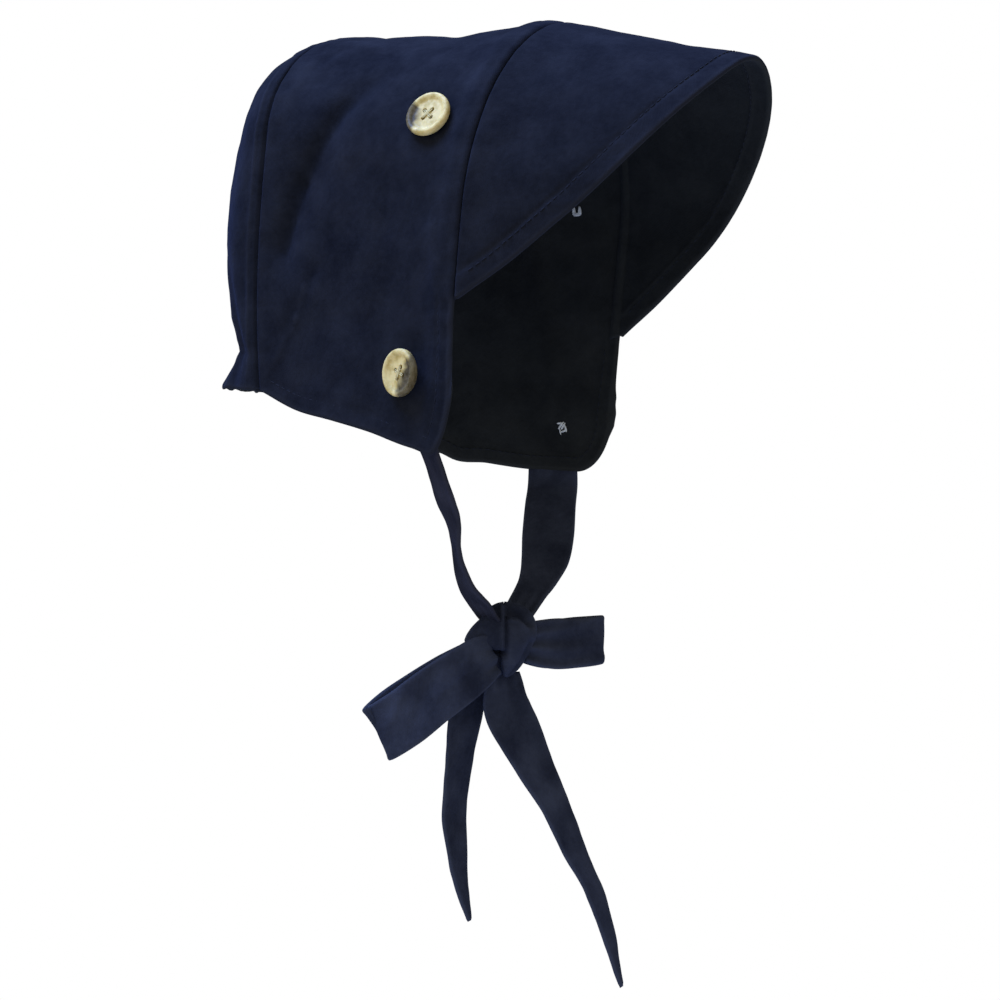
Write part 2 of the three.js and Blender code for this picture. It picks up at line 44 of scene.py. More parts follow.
# Camera: level with the middle of the bonnet, looking at its right side from a little in front.
# A long lens gives the photograph's narrow view.
LENS = 72
FILM = 36
VIEW_DIRECTION = Vector((0.88295, 0.46947, 0.0))
VIEW_TARGET = Vector((0.0, -0.0147, -0.1855))
VIEW_DISTANCE = 0.804
camera = bpy.data.objects.new("camera", bpy.data.cameras.new("camera"))
camera.data.lens = LENS
camera.data.sensor_width = FILM
camera.location = VIEW_TARGET - VIEW_DIRECTION * VIEW_DISTANCE
camera.rotation_euler = VIEW_DIRECTION.to_track_quat("-Z", "Y").to_euler()
bpy.context.collection.objects.link(camera)
bpy.context.scene.camera = camera
bpy.context.scene.view_settings.view_transform = "Standard"

# Studio: a white room that lights the cloth softly, one large lamp above and behind the camera's left
# shoulder, a weaker one beside the camera, and a pale floor well below the ties.
ROOM_LIGHT = 0.62
VIEW_LEFT = Vector((-VIEW_DIRECTION.y, VIEW_DIRECTION.x, 0.0))
FLOOR_SIZE = 6.0
FLOOR_HEIGHT = -0.75
LAMP_SIZE = 0.9
LAMP_AIM = VIEW_TARGET + Vector((0, 0, 0.07))
# Name, left of the target, back toward the camera and up, then power and colour.
LAMPS = [
    ("lamp_above", 0.45, 0.2, 1.25, 58.0, (0.26, 0.42, 1.0)),
    ("lamp_beside", 1.0, 0.9, 0.3, 3.0, (0.9, 0.94, 1.0)),
]


def white_to_camera(tree, surface, output):
    """Shows the room or the floor pure white to the camera, while its own light stays soft."""
    path = tree.nodes.new("ShaderNodeLightPath")
    white = tree.nodes.new("ShaderNodeEmission")
    white.inputs["Color"].default_value = (1, 1, 1, 1)
    both = tree.nodes.new("ShaderNodeMixShader")
    tree.links.new(path.outputs["Is Camera Ray"], both.inputs["Fac"])
    tree.links.new(surface, both.inputs[1])
    tree.links.new(white.outputs[0], both.inputs[2])
    tree.links.new(both.outputs[0], output)


world = bpy.data.worlds.new("white room")
world.use_nodes = True
room = world.node_tree.nodes["Background"]
room.inputs["Color"].default_value = (1, 1, 1, 1)
room.inputs["Strength"].default_value = ROOM_LIGHT
world_output = world.node_tree.nodes["World Output"]
white_to_camera(world.node_tree, room.outputs[0], world_output.inputs["Surface"])
bpy.context.scene.world = world

for name, left, away, up, power, colour in LAMPS:
    lamp = bpy.data.objects.new(name, bpy.data.lights.new(name, "AREA"))
    lamp.data.shape = "SQUARE"
    lamp.data.size = LAMP_SIZE
    lamp.data.energy = power
    lamp.data.color = colour
    lamp.location = VIEW_TARGET + VIEW_LEFT * left - VIEW_DIRECTION * away + Vector((0, 0, up))
    lamp.rotation_euler = (LAMP_AIM - lamp.location).to_track_quat("-Z", "Y").to_euler()
    bpy.context.collection.objects.link(lamp)


def make_piece(name, bm):
    """Turns a finished bmesh into an object."""
    mesh = bpy.data.meshes.new(name)
    bm.to_mesh(mesh)
    bm.free()
    piece = bpy.data.objects.new(name, mesh)
    bpy.context.collection.objects.link(piece)
    return piece


def make_material(name, values):
    """A material with these values on its surface's own sockets."""
    material = bpy.data.materials.new(name)
    material.use_nodes = True
    surface = material.node_tree.nodes["Principled BSDF"]
    for socket, value in values.items():
        surface.inputs[socket].default_value = value
    return material, material.node_tree, surface


bm = bmesh.new()
bmesh.ops.create_grid(bm, x_segments=2, y_segments=2, size=FLOOR_SIZE)
bmesh.ops.translate(bm, verts=bm.verts, vec=(0, 0, FLOOR_HEIGHT))
floor = make_piece("floor", bm)
pale, tree, surface = make_material("pale floor", {"Base Color": (0.8, 0.8, 0.8, 1), "Roughness": 0.9})
white_to_camera(tree, surface.outputs[0], tree.nodes["Material Output"].inputs["Surface"])
floor.data.materials.append(pale)

# Crown: two layers of brushed cotton cut as one panel from ear to ear over the head, its lower edge turned
# up and stitched, its front edge eased over the brim's seam so that it puffs.
CROWN_WALL = 2.0
SEAM_PUFF = 1.6
PUFF_PLACE = 0.93
PUFF_WIDTH = 0.06
PUFF_FADE = 0.6
EDGE_CALM = 12
FOLD_STRETCH = 2
LEAN = 2.5
LEAN_AT_SEAM = 1.0
QUARTER_ARC = 1.52
CORNER_RUN = 0.17
CORNER_RISE = 26
CORNER_POWER = 3
BRIM_END = 0.73
# Cross arches from the back seam (0) to the brim seam (1): place, top y, top z, half width, fall, power,
# half width at the hem, y at the hem.
CROWN_ARCHES = [
    (0.0, 50, 5.5, 63, 47, 2.0, 57.5, 62.5),
    (0.5, 0, 2.0, 66, 60, 1.93, 65.5, 16),
    (1.0, -47.5, 1.5, 72, 77, 1.92, 73, -30),
]
# Height of the lower edge from back to front: place, right side, left side.
HEM_HEIGHTS = [
    (0.0, -142.5, -143.5),
    (0.2, -150.6, -166.0),
    (0.4, -155.1, -169.3),
    (0.6, -159.9, -172.0),
    (0.8, -165.9, -173.0),
    (1.0, -169.0, -174.5),
]
# How far slack cloth hangs forward at the front edge: place from top to hem, right side, left side.
FRONT_EASE = [
    (0.0, 0.0, 0.0),
    (0.3, 0.5, 1.8),
    (0.45, 1.5, 3.0),
    (0.6, 2.1, 3.6),
    (0.75, 2.3, 3.5),
    (0.87, 2.6, 2.2),
    (1.0, 2.4, 0.4),
]
EASE_POWER = 3
# Soft folds: u1, s1, u2, s2, width and depth. u runs from the back seam to the brim seam, s from the right
# hem (-1) over the top (0) to the left hem (1). A negative depth is a ridge.
CROWN_FOLDS = [
    (0.38, -0.34, 0.12, -0.68, 0.09, 2.2),
    (0.55, -0.1, 0.35, 0.25, 0.1, 1.6),
    (0.4, 0.4, 0.15, 0.7, 0.09, 2.0),
]
# Sharper creases on top of them in the same terms, and how much painted shade each lays in the nap; below
# zero it is a painted highlight.
CROWN_CREASES = [
    (0.44, -0.305, 0.3, -0.4, 0.05, 0.5, 0.3),
    (0.34, -0.365, 0.19, -0.545, 0.036, 1.3, 0.55),
    (0.19, -0.545, 0.115, -0.69, 0.03, 1.5, 0.75),
    (0.2, -0.12, 0.21, 0.3, 0.05, 1.5, 0.2),
    (0.085, -0.27, 0.055, -0.415, 0.03, -1.1, -2.2),
    (0.165, -0.21, 0.1, -0.29, 0.03, 0.8, 0.4),
    (0.315, -0.2, 0.15, -0.17, 0.03, -0.8, -0.6),
    (0.045, -0.5, 0.085, -0.61, 0.03, -0.9, -0.7),
    (0.255, -0.745, 0.21, -0.815, 0.014, -0.6, -1.0),
    (0.21, -0.815, 0.08, -0.93, 0.018, -0.7, -1.0),
    (0.3, -0.71, 0.16, -0.86, 0.03, 0.6, 0.6),
    (0.6, -0.55, 0.66, -0.75, 0.05, 0.5, 0.3),
    (0.86, -0.6, 0.93, -0.75, 0.03, -0.5, -0.5),
    (0.05, 0.3, 0.16, 0.55, 0.04, 1.2, 0.8),
    (0.4, 0.3, 0.2, 0.48, 0.045, 1.3, 1.0),
    (0.2, 0.48, 0.1, 0.68, 0.035, 1.5, 1.2),
    (0.55, 0.55, 0.7, 0.8, 0.05, 0.7, 0.5),
    (0.5, -0.02, 0.42, 0.12, 0.04, 0.8, 0.4),
]
# How far the hem droops: right, where the tie pulls at the front corner, and left, near the back seam.
HEM_DROOP = (4.6, 6.2)
DROOP_PLACE = (0.925, 0.1)
DROOP_WIDTH = 0.055
DROOP_POWER = 14
# Roughly how many millimetres of cloth one step of u and of s stand for.
CROWN_DEPTH = 98.0
CROWN_DROP = 195.0
# Soft swells in the cloth: height, size and seed of each.
CROWN_SWELLS = [(0.75, 30, 1), (0.3, 12, 2)]
CROWN_FUZZ = [(0.08, 4, 3)]
CROWN_PUCKERS = [(0.5, 5.5, 4)]
CROWN_MOTTLING = [(0.3, 24, 15)]
CROWN_FLECKS = [(0.15, 7, 16)]


def between(rows, at, column):
    """A smooth curve through one column of a table, read at a place between its rows."""
    last = len(rows) - 1
    i = 0
    while i < last - 1 and at > rows[i + 1][0]:
        i += 1

    def slope(k):
        a, b = rows[max(k - 1, 0)], rows[min(k + 1, last)]
        return (b[column] - a[column]) / (b[0] - a[0])

    span = rows[i + 1][0] - rows[i][0]
    t = (at - rows[i][0]) / span
    t2, t3 = t * t, t * t * t
    start = (2 * t3 - 3 * t2 + 1) * rows[i][column] + (t3 - 2 * t2 + t) * span * slope(i)
    return start + (3 * t2 - 2 * t3) * rows[i + 1][column] + (t3 - t2) * span * slope(i + 1)


def bell(off, width):
    """1 at a line's middle, falling off smoothly over a width."""
    return math.exp(-((off / width) ** 2))


def fold_depth(u, s, folds, column=5):
    """How deep folds lie at (u, s), or the same for another column of their table."""
    depth = 0.0
    for fold in folds:
        u1, s1, u2, s2, width, deep = *fold[:5], fold[column]
        du, ds = u2 - u1, s2 - s1
        along = ((u - u1) * du + (s - s1) * ds) / (du * du + ds * ds)
        held = min(max(along, 0.0), 1.0)
        off = math.hypot(u - u1 - held * du, (s - s1 - held * ds) * FOLD_STRETCH)
        depth += deep * bell(off, width)
    return depth


def front_ease(s):
    return between(FRONT_EASE, abs(s), 1 if s < 0 else 2)


def crown_face(u, s):
    """The crown's smooth outer face."""
    hem = between(HEM_HEIGHTS, u, 1 if s < 0 else 2)
    corner = min(max((u - 1 + CORNER_RUN) / CORNER_RUN, 0.0), 1.0)
    rise = CORNER_RISE * (1 - math.sqrt(1 - corner * corner))
    top_y, top_z, half, fall, power, hem_half, hem_y = (between(CROWN_ARCHES, u, k) for k in range(1, 8))
    quarter = QUARTER_ARC * math.sqrt((half * half + fall * fall) / 2)
    side = top_z - fall - hem
    shoulder = quarter / (quarter + side)
    run = abs(s)
    if run <= shoulder:
        turn = run / shoulder * math.pi / 2
        x = half * math.sin(turn) ** (2 / power)
        z = top_z - fall * (1 - max(math.cos(turn), 0.0) ** (2 / power))
    else:
        down = (run - shoulder) / (1 - shoulder)
        x = half + (hem_half - half) * down * down
        z = top_z - fall - side * down + rise * down ** CORNER_POWER
    lean = LEAN + LEAN_AT_SEAM * corner * corner
    y = top_y + (hem_y - top_y) * (1 - max(1 - run * run, 0.0) ** lean)
    return Vector((math.copysign(x, s), y - front_ease(s) * u ** EASE_POWER, z))


def outward(face, a, b, step=0.004):
    """The direction out of a face at (a, b), from two short steps along it."""
    a1, a2 = max(a - step, 0.0), min(a + step, 1.0)
    b1, b2 = max(b - step, -1.0), min(b + step, 1.0)
    return (face(a2, b) - face(a1, b)).cross(face(a, b2) - face(a, b1)).normalized()


def crown_outer(u, s):
    """The crown's face with its folds, the puff behind the brim seam and the hem's droop."""
    edge = min(1.0, (1 - abs(s)) * EDGE_CALM, u * EDGE_CALM)
    puff = -SEAM_PUFF * bell(u - PUFF_PLACE, PUFF_WIDTH) * (1 - PUFF_FADE * abs(s))
    depth = (puff + fold_depth(u, s, CROWN_FOLDS)) * edge
    side = 0 if s < 0 else 1
    droop = HEM_DROOP[side] * bell(u - DROOP_PLACE[side], DROOP_WIDTH) * abs(s) ** DROOP_POWER
    return crown_face(u, s) - outward(crown_face, u, s) * depth - Vector((0, 0, droop))


def smooth_step(value, low, high):
    t = min(max((value - low) / (high - low), 0.0), 1.0)
    return t * t * (3 - 2 * t)


def softness(point, size, seed):
    """Even, unpatterned swelling between -1 and 1 of about the given size in millimetres."""
    return noise.noise(point / size + Vector((seed * 7.3, seed * 3.1, seed * 5.7))) * 1.6


def swells(point, terms):
    """The sum of several swellings, each given as its height, its size and its seed."""
    return sum(height * softness(point, size, seed) for height, size, seed in terms)


def rounding(distance, radius):
    """How far in a rounded edge has fallen at a distance from the edge, from 1 at the edge to 0."""
    near = min(max(1 - distance / radius, 0.0), 1.0)
    return 1 - math.sqrt(1 - near * near)


def cloth_wall(name, rows, columns, place, sizes):
    """A closed wall of cloth. place(i, j) gives the outer point, the inner point and the paleness from wear
    and painted light in millimetres and 0 to 1; sizes are the cloth's own width and length along the rows
    and columns."""
    bm = bmesh.new()
    wear_and_painted_light = bm.verts.layers.float.new("wear_and_painted_light")
    cloth_map = bm.loops.layers.uv.new("cloth")
    steps_i, steps_j = len(rows) - 1, len(columns) - 1
    bmesh.ops.create_grid(bm, x_segments=steps_i, y_segments=steps_j, size=1.0)
    for face in bm.faces:
        face.smooth = True
        for loop in face.loops:
            co = loop.vert.co
            loop[cloth_map].uv = ((co.x + 1) / 2 * sizes[0] * MM, (co.y + 1) / 2 * sizes[1] * MM)
    grown = bmesh.ops.extrude_face_region(bm, geom=bm.faces[:], use_keep_orig=True)["geom"]
    inner = {g for g in grown if isinstance(g, bmesh.types.BMVert)}
    for face in (g for g in grown if isinstance(g, bmesh.types.BMFace)):
        face.material_index = 1
    held = {}
    for vert in bm.verts:
        key = (round((vert.co.x + 1) / 2 * steps_i), round((vert.co.y + 1) / 2 * steps_j))
        if key not in held:
            held[key] = place(rows[key[0]], columns[key[1]])
        out, within, wear_and_light = held[key]
        vert.co = (within if vert in inner else out) * MM
        vert[wear_and_painted_light] = wear_and_light
    bmesh.ops.recalc_face_normals(bm, faces=bm.faces)
    return make_piece(name, bm)


# Rows and columns, closer together along the edges, where the wall is rounded, and toward the brim.
EDGE_RADIUS = 1.8
CROWN_SPREAD = 1.5
CROWN_STEPS = (74, 230)
edge_rows = [EDGE_RADIUS * (k / 5) ** 1.7 for k in range(5)]
first = 1 - (1 - EDGE_RADIUS / CROWN_DEPTH) ** (1 / CROWN_SPREAD)
crown_rows = [d / CROWN_DEPTH for d in edge_rows]
for k in range(CROWN_STEPS[0] + 1):
    crown_rows.append(1 - (1 - (first + (1 - first) * k / CROWN_STEPS[0])) ** CROWN_SPREAD)
crown_ends = [1 - d / CROWN_DROP for d in edge_rows]
last_s = 1 - EDGE_RADIUS / CROWN_DROP
crown_columns = [-s for s in crown_ends]
crown_columns += [last_s * (2 * k / CROWN_STEPS[1] - 1) for k in range(CROWN_STEPS[1] + 1)]
crown_columns += crown_ends[::-1]


def edge_finder(run):
    """From an edge's run of points, each with how far a neighbour is sewn on there (0 to 1), makes a
    function that gives a place's distance from the edge and that share."""
    tree = kdtree.KDTree(len(run))
    for k, (point, sewn) in enumerate(run):
        tree.insert(point, k)
    tree.balance()

    def find(point):
        place, k, gap = tree.find(point)
        for other in (k - 1, (k + 1) % len(run)):
            a, b = run[other][0], run[k][0]
            span = b - a
            t = min(max((point - a).dot(span) / max(span.length_squared, 1e-9), 0.0), 1.0)
            gap = min(gap, (point - a - span * t).length)
        return gap, run[k][1]
    return find


crown_edge = [(crown_outer(0.0, 1 - k / 200), 1.0) for k in range(400)]
crown_edge += [(crown_outer(1 - (1 - k / 300) ** 1.5, -1.0), 0.0) for k in range(300)]
for k in range(400):
    s = k / 200 - 1
    crown_edge.append((crown_outer(1.0, s), 1 - smooth_step(abs(s), BRIM_END - 0.01, BRIM_END + 0.02)))
crown_edge += [(crown_outer(1 - (k / 300) ** 1.5, 1.0), 0.0) for k in range(300)]
crown_edge_at = edge_finder(crown_edge)

# How the edges are finished: the hem's row of stitches and its groove, puckers, how far the cloth lies calm,
# how much of the wall's depth is rounded off outside and inside, how much paler its free edges and its
# groove are, a painted highlight beside the seams, and the painted shade and highlights of its creases.
HEM_INSET = 6.0
GROOVE_WIDTH = 0.8
GROOVE_DEPTH = 0.35
PUCKER_RUN = 5.0
PUCKER_START = 1.2
CALM_RUN = 14.0
ROUNDED = 0.45
SEAM_SUNK = 0.4
SEAM_FADE = (1.3, 0.4, 0.75)
PALE_EDGE = 1.6
PALE_EDGE_RUN = (0.6, 2.4)
SEAM_HIGHLIGHT = (0.35, 2.6, 1.3)
WORN_GROOVE = 0.25
CREASE_PAINTED_SHADE = 0.6


def crown_place(u, s):
    base = crown_outer(u, s)
    out = outward(crown_face, u, s)
    gap, sewn = crown_edge_at(base)
    free = 1 - sewn
    calm = smooth_step(gap, 0.0, CALM_RUN)
    groove = bell(gap - HEM_INSET, GROOVE_WIDTH) * free
    pucker = math.exp(-gap / PUCKER_RUN) * (1 - math.exp(-gap / PUCKER_START))
    relief = calm * (swells(base, CROWN_SWELLS) - fold_depth(u, s, CROWN_CREASES)) + swells(base, CROWN_FUZZ)
    relief += pucker * swells(Vector((base.x, base.z, 0.0)), CROWN_PUCKERS) - GROOVE_DEPTH * groove
    base += out * relief
    fall = rounding(gap, EDGE_RADIUS)
    fade, fade_start, fade_end = SEAM_FADE
    seam_depth = ROUNDED + SEAM_SUNK * sewn * (1 - fade * smooth_step(abs(s), fade_start, fade_end))
    outer_depth = CROWN_WALL * seam_depth * fall
    inner_depth = CROWN_WALL * (1 - ROUNDED * free * fall)
    seam_highlight, seam_place, seam_width = SEAM_HIGHLIGHT
    wear_and_light = PALE_EDGE * (1 - smooth_step(gap, *PALE_EDGE_RUN)) * free + WORN_GROOVE * groove
    # A painted highlight in a band beside the seams.
    wear_and_light += seam_highlight * sewn * bell(gap - seam_place, seam_width)
    # Painted shade in the creases and painted highlights on the crease ridges, over random mottling.
    wear_and_light += calm * (swells(base, CROWN_MOTTLING) - CREASE_PAINTED_SHADE * fold_depth(u, s, CROWN_CREASES, 6))
    wear_and_light += swells(base, CROWN_FLECKS)
    return base - out * outer_depth, base - out * inner_depth, wear_and_light


# Brushed cotton: the nap lies in soft, slightly paler patches over a deep navy ground, with a fine twill
# under it. A value on
# each vertex makes it paler or darker: paler free edges, painted highlights on ridges and crests, painted
# shade in creases and hollows.
def make_group(name, inputs, outputs):
    group = bpy.data.node_groups.new(name, "ShaderNodeTree")
    for socket_name, kind, value in inputs:
        socket = group.interface.new_socket(name=socket_name, in_out="INPUT", socket_type=kind)
        if value is not None:
            socket.default_value = value
    for socket_name, kind in outputs:
        group.interface.new_socket(name=socket_name, in_out="OUTPUT", socket_type=kind)
    return group, group.nodes.new("NodeGroupInput"), group.nodes.new("NodeGroupOutput")


def noise_node(tree, vector, scale, detail=2.0, roughness=0.5):
    node = tree.nodes.new("ShaderNodeTexNoise")
    node.inputs["Scale"].default_value = scale
    node.inputs["Detail"].default_value = detail
    node.inputs["Roughness"].default_value = roughness
    tree.links.new(vector, node.inputs["Vector"])
    return node.outputs["Fac"]


def ramp_node(tree, value, low, high, to_low=0.0, to_high=1.0):
    node = tree.nodes.new("ShaderNodeMapRange")
    node.inputs["From Min"].default_value = low
    node.inputs["From Max"].default_value = high
    node.inputs["To Min"].default_value = to_low
    node.inputs["To Max"].default_value = to_high
    tree.links.new(value, node.inputs["Value"])
    return node.outputs["Result"]


def math_node(tree, operation, a, b):
    node = tree.nodes.new("ShaderNodeMath")
    node.operation = operation
    for socket, value in zip(node.inputs, (a, b)):
        if isinstance(value, (int, float)):
            socket.default_value = value
        else:
            tree.links.new(value, socket)
    return node.outputs[0]


def weighted(tree, parts):
    """The sum of several values, each times its weight."""
    total = 0.0
    for value, weight in parts:
        total = math_node(tree, "ADD", math_node(tree, "MULTIPLY", value, weight), total)
    return total


def mix_colours(tree, share, a, b):
    node = tree.nodes.new("ShaderNodeMix")
    node.data_type = "RGBA"
    for socket, value in ((node.inputs["Factor"], share), (node.inputs["A"], a), (node.inputs["B"], b)):
        if hasattr(value, "links"):
            tree.links.new(value, socket)
        else:
            socket.default_value = value
    return next(o for o in node.outputs if o.type == "RGBA")


brushed, brushed_in, brushed_out = make_group(
    "brushed cotton",
    [("Place", "NodeSocketVector", None), ("Cloth", "NodeSocketVector", None),
     ("Ground", "NodeSocketColor", None), ("Nap", "NodeSocketColor", None),
     ("Wear and painted light", "NodeSocketFloat", 0.0)],
    [("Color", "NodeSocketColor"), ("Roughness", "NodeSocketFloat"), ("Height", "NodeSocketFloat")])
cloth_place = brushed_in.outputs["Place"]
patches = ramp_node(brushed, noise_node(brushed, cloth_place, 75.0, 3.0, 0.55), 0.38, 0.68)
tufts = ramp_node(brushed, noise_node(brushed, cloth_place, 420.0, 3.0, 0.6), 0.3, 0.7)
fibres = noise_node(brushed, cloth_place, 2200.0, 2.0, 0.7)
twill = brushed.nodes.new("ShaderNodeTexWave")
twill.bands_direction = "DIAGONAL"
twill.inputs["Scale"].default_value = 320.0
twill.inputs["Distortion"].default_value = 1.5
twill.inputs["Detail"].default_value = 1.0
brushed.links.new(brushed_in.outputs["Cloth"], twill.inputs["Vector"])
share = weighted(brushed, [(patches, 0.45), (tufts, 0.25), (fibres, 0.3), (brushed_in.outputs["Wear and painted light"], 0.6)])
cloth_colour = mix_colours(brushed, share, brushed_in.outputs["Ground"], brushed_in.outputs["Nap"])
brushed.links.new(cloth_colour, brushed_out.inputs["Color"])
brushed.links.new(ramp_node(brushed, patches, 0.0, 1.0, 0.82, 0.95), brushed_out.inputs["Roughness"])
nap_height = weighted(brushed, [(tufts, 0.5), (fibres, 0.35), (twill.outputs["Fac"], 0.12)])
brushed.links.new(nap_height, brushed_out.inputs["Height"])


def add_bump(tree, height, surface, strength, distance):
    bump = tree.nodes.new("ShaderNodeBump")
    bump.inputs["Strength"].default_value = strength
    bump.inputs["Distance"].default_value = distance
    tree.links.new(height, bump.inputs["Height"])
    tree.links.new(bump.outputs["Normal"], surface.inputs["Normal"])


def cotton(name, ground, nap, sheen):
    """A brushed cotton in its own two shades and with its own strength of sheen."""
    material, tree, surface = make_material(name, {
        "Specular IOR Level": 0.0, "Sheen Weight": sheen, "Sheen Roughness": 0.45,
        "Sheen Tint": (0.45, 0.55, 1.0, 1)})
    place = tree.nodes.new("ShaderNodeTexCoord")
    cloth = tree.nodes.new("ShaderNodeUVMap")
    cloth.uv_map = "cloth"
    wear_and_painted_light = tree.nodes.new("ShaderNodeAttribute")
    wear_and_painted_light.attribute_name = "wear_and_painted_light"
    nap_node = tree.nodes.new("ShaderNodeGroup")
    nap_node.node_tree = brushed
    nap_node.inputs["Ground"].default_value = (*ground, 1)
    nap_node.inputs["Nap"].default_value = (*nap, 1)
    tree.links.new(place.outputs["Object"], nap_node.inputs["Place"])
    tree.links.new(cloth.outputs["UV"], nap_node.inputs["Cloth"])
    tree.links.new(wear_and_painted_light.outputs["Fac"], nap_node.inputs["Wear and painted light"])
    add_bump(tree, nap_node.outputs["Height"], surface, 0.5, 0.0004)
    tree.links.new(nap_node.outputs["Color"], surface.inputs["Base Color"])
    tree.links.new(nap_node.outputs["Roughness"], surface.inputs["Roughness"])
    return material


# The ties' cotton is the crown's navy painted lighter, as painted light on the knot, bow and ties; its
# darker, greyer copy is painted shade on the right tie.
navy, lining, lit_tie_cotton, painted_shade_tie_cotton = (cotton(*row) for row in (
    ("navy brushed cotton", (0.0058, 0.0063, 0.0080), (0.0148, 0.0155, 0.0183), 0.03),
    ("navy cotton lining", (0.0106, 0.0112, 0.0104), (0.0202, 0.0208, 0.0182), 0.02),
    ("navy tie cotton", (0.0138, 0.0158, 0.0235), (0.0345, 0.0385, 0.0520), 0.04),
    ("navy tie cotton, upper face", (0.0106, 0.0103, 0.0127), (0.0250, 0.0242, 0.0292), 0.03),
))


def finish_cloth(piece, outer_material, inner_material, *nodes):
    piece.data.materials.append(outer_material)
    piece.data.materials.append(inner_material)
    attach(piece, "root")
    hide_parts(*nodes)


crown = cloth_wall("crown", crown_rows, crown_columns, crown_place, (CROWN_DEPTH, 2 * CROWN_DROP))
finish_cloth(crown, navy, lining, "crown_panel")

# Back panel: one cut of the same cloth in two layers, round at the top, that takes the back of the head. A
# cord in its casing draws it in at the nape into small gathers, and it flares out below them. A tongue of
# its seam is turned in under the crown and stitched.
BACK_BULGE = 36
BACK_SHOULDER = 0.3
BACK_ROUND = 2.2
BACK_HEM_RISE = 4.5
FLARE_WAVES = 9
SEAM_GAP = 0.3
TONGUE_CLEAR = 0.15
TONGUE_THICK = 0.7
TONGUE_WEAR = 0.5
TONGUE_STEPS = (4.5, 2.4, 0.4)
# From its top to its lower edge: place, share of the full bulge, height of the flare's waves.
BACK_LEVELS = [
    (0.0, 0.0, 0.0),
    (0.06, 0.45, 0.0),
    (0.16, 0.71, 0.0),
    (0.34, 0.94, 0.0),
    (0.58, 1.0, 0.0),
    (0.78, 0.89, 0.4),
    (0.89, 0.7, 1.0),
    (1.0, 1.1, 2.6),
]
back_seam_points = {}


def back_seam(s):
    key = round(s, 6)
    if key not in back_seam_points:
        back_seam_points[key] = crown_face(0.0, key)
    return back_seam_points[key]


def back_face(b, a):
    """The back panel's outer face: b from its top to its lower edge, a from its right seam to its left."""
    s = BACK_SHOULDER + (1 - BACK_SHOULDER) * b
    left = (a + 1) / 2
    right = 1 - left
    point = back_seam(a * BACK_SHOULDER) * (1 - b) + (back_seam(-1) * right + back_seam(1) * left) * b
    point += back_seam(-s) * right + back_seam(s) * left
    point -= (back_seam(-BACK_SHOULDER) * right + back_seam(BACK_SHOULDER) * left) * (1 - b)
    point -= (back_seam(-1) * right + back_seam(1) * left) * b
    arch = math.sqrt(max(1 - abs(a) ** BACK_ROUND, 0.0))
    wave = between(BACK_LEVELS, b, 2) * math.sin(FLARE_WAVES * math.pi * left) ** 2
    point.y += SEAM_GAP + BACK_BULGE * arch * between(BACK_LEVELS, b, 1) + wave * arch
    point.z += BACK_HEM_RISE * arch * b * b
    return point


BACK_SPREAD = 1.6
back_edge = [(back_face((k / 200) ** BACK_SPREAD, -1.0), 1.0) for k in range(200)]
back_edge += [(back_face(1.0, math.sin((k / 150 - 1) * math.pi / 2)), 0.0) for k in range(300)]
back_edge += [(back_face((1 - k / 200) ** BACK_SPREAD, 1.0), 1.0) for k in range(200)]
back_edge += [(back_face(0.0, math.sin((1 - k / 75) * math.pi / 2)), 1.0) for k in range(150)]
back_edge_at = edge_finder(back_edge)

# The back's swells, as for the crown; the blend of its seam into the crown's, the ridge where the seam's
# turnings lie, the gathers above the nape's casing and the stitched line of that casing.
BACK_SWELLS = [(0.8, 26, 5), (0.3, 11, 6)]
BACK_FUZZ = [(0.08, 4, 7)]
BACK_DRIFT = [(2.2, 16, 8)]
BACK_UNEVEN = [(0.5, 20, 9)]
BACK_CALM_RUN = 12.0
SEAM_BLEND = 9.0
FAR_FROM_SEAM = 20.0
RIDGE_PLACE = 4.3
RIDGE_WIDTH = 0.8
RIDGE_HEIGHT = 0.5
GATHER_PITCH = 7.4
GATHER_DEPTH = 0.9
GATHER_EVEN = 0.7
CASING_PLACE = 0.885
CASING_WIDTH = 0.012


def tongue(u, s):
    """A turned-in seam allowance under the crown: its outer and inner points and its wear."""
    under = crown_outer(u, s)
    out = outward(crown_face, u, s)
    depth = CROWN_WALL + TONGUE_CLEAR
    return under - out * depth, under - out * (depth + TONGUE_THICK), TONGUE_WEAR


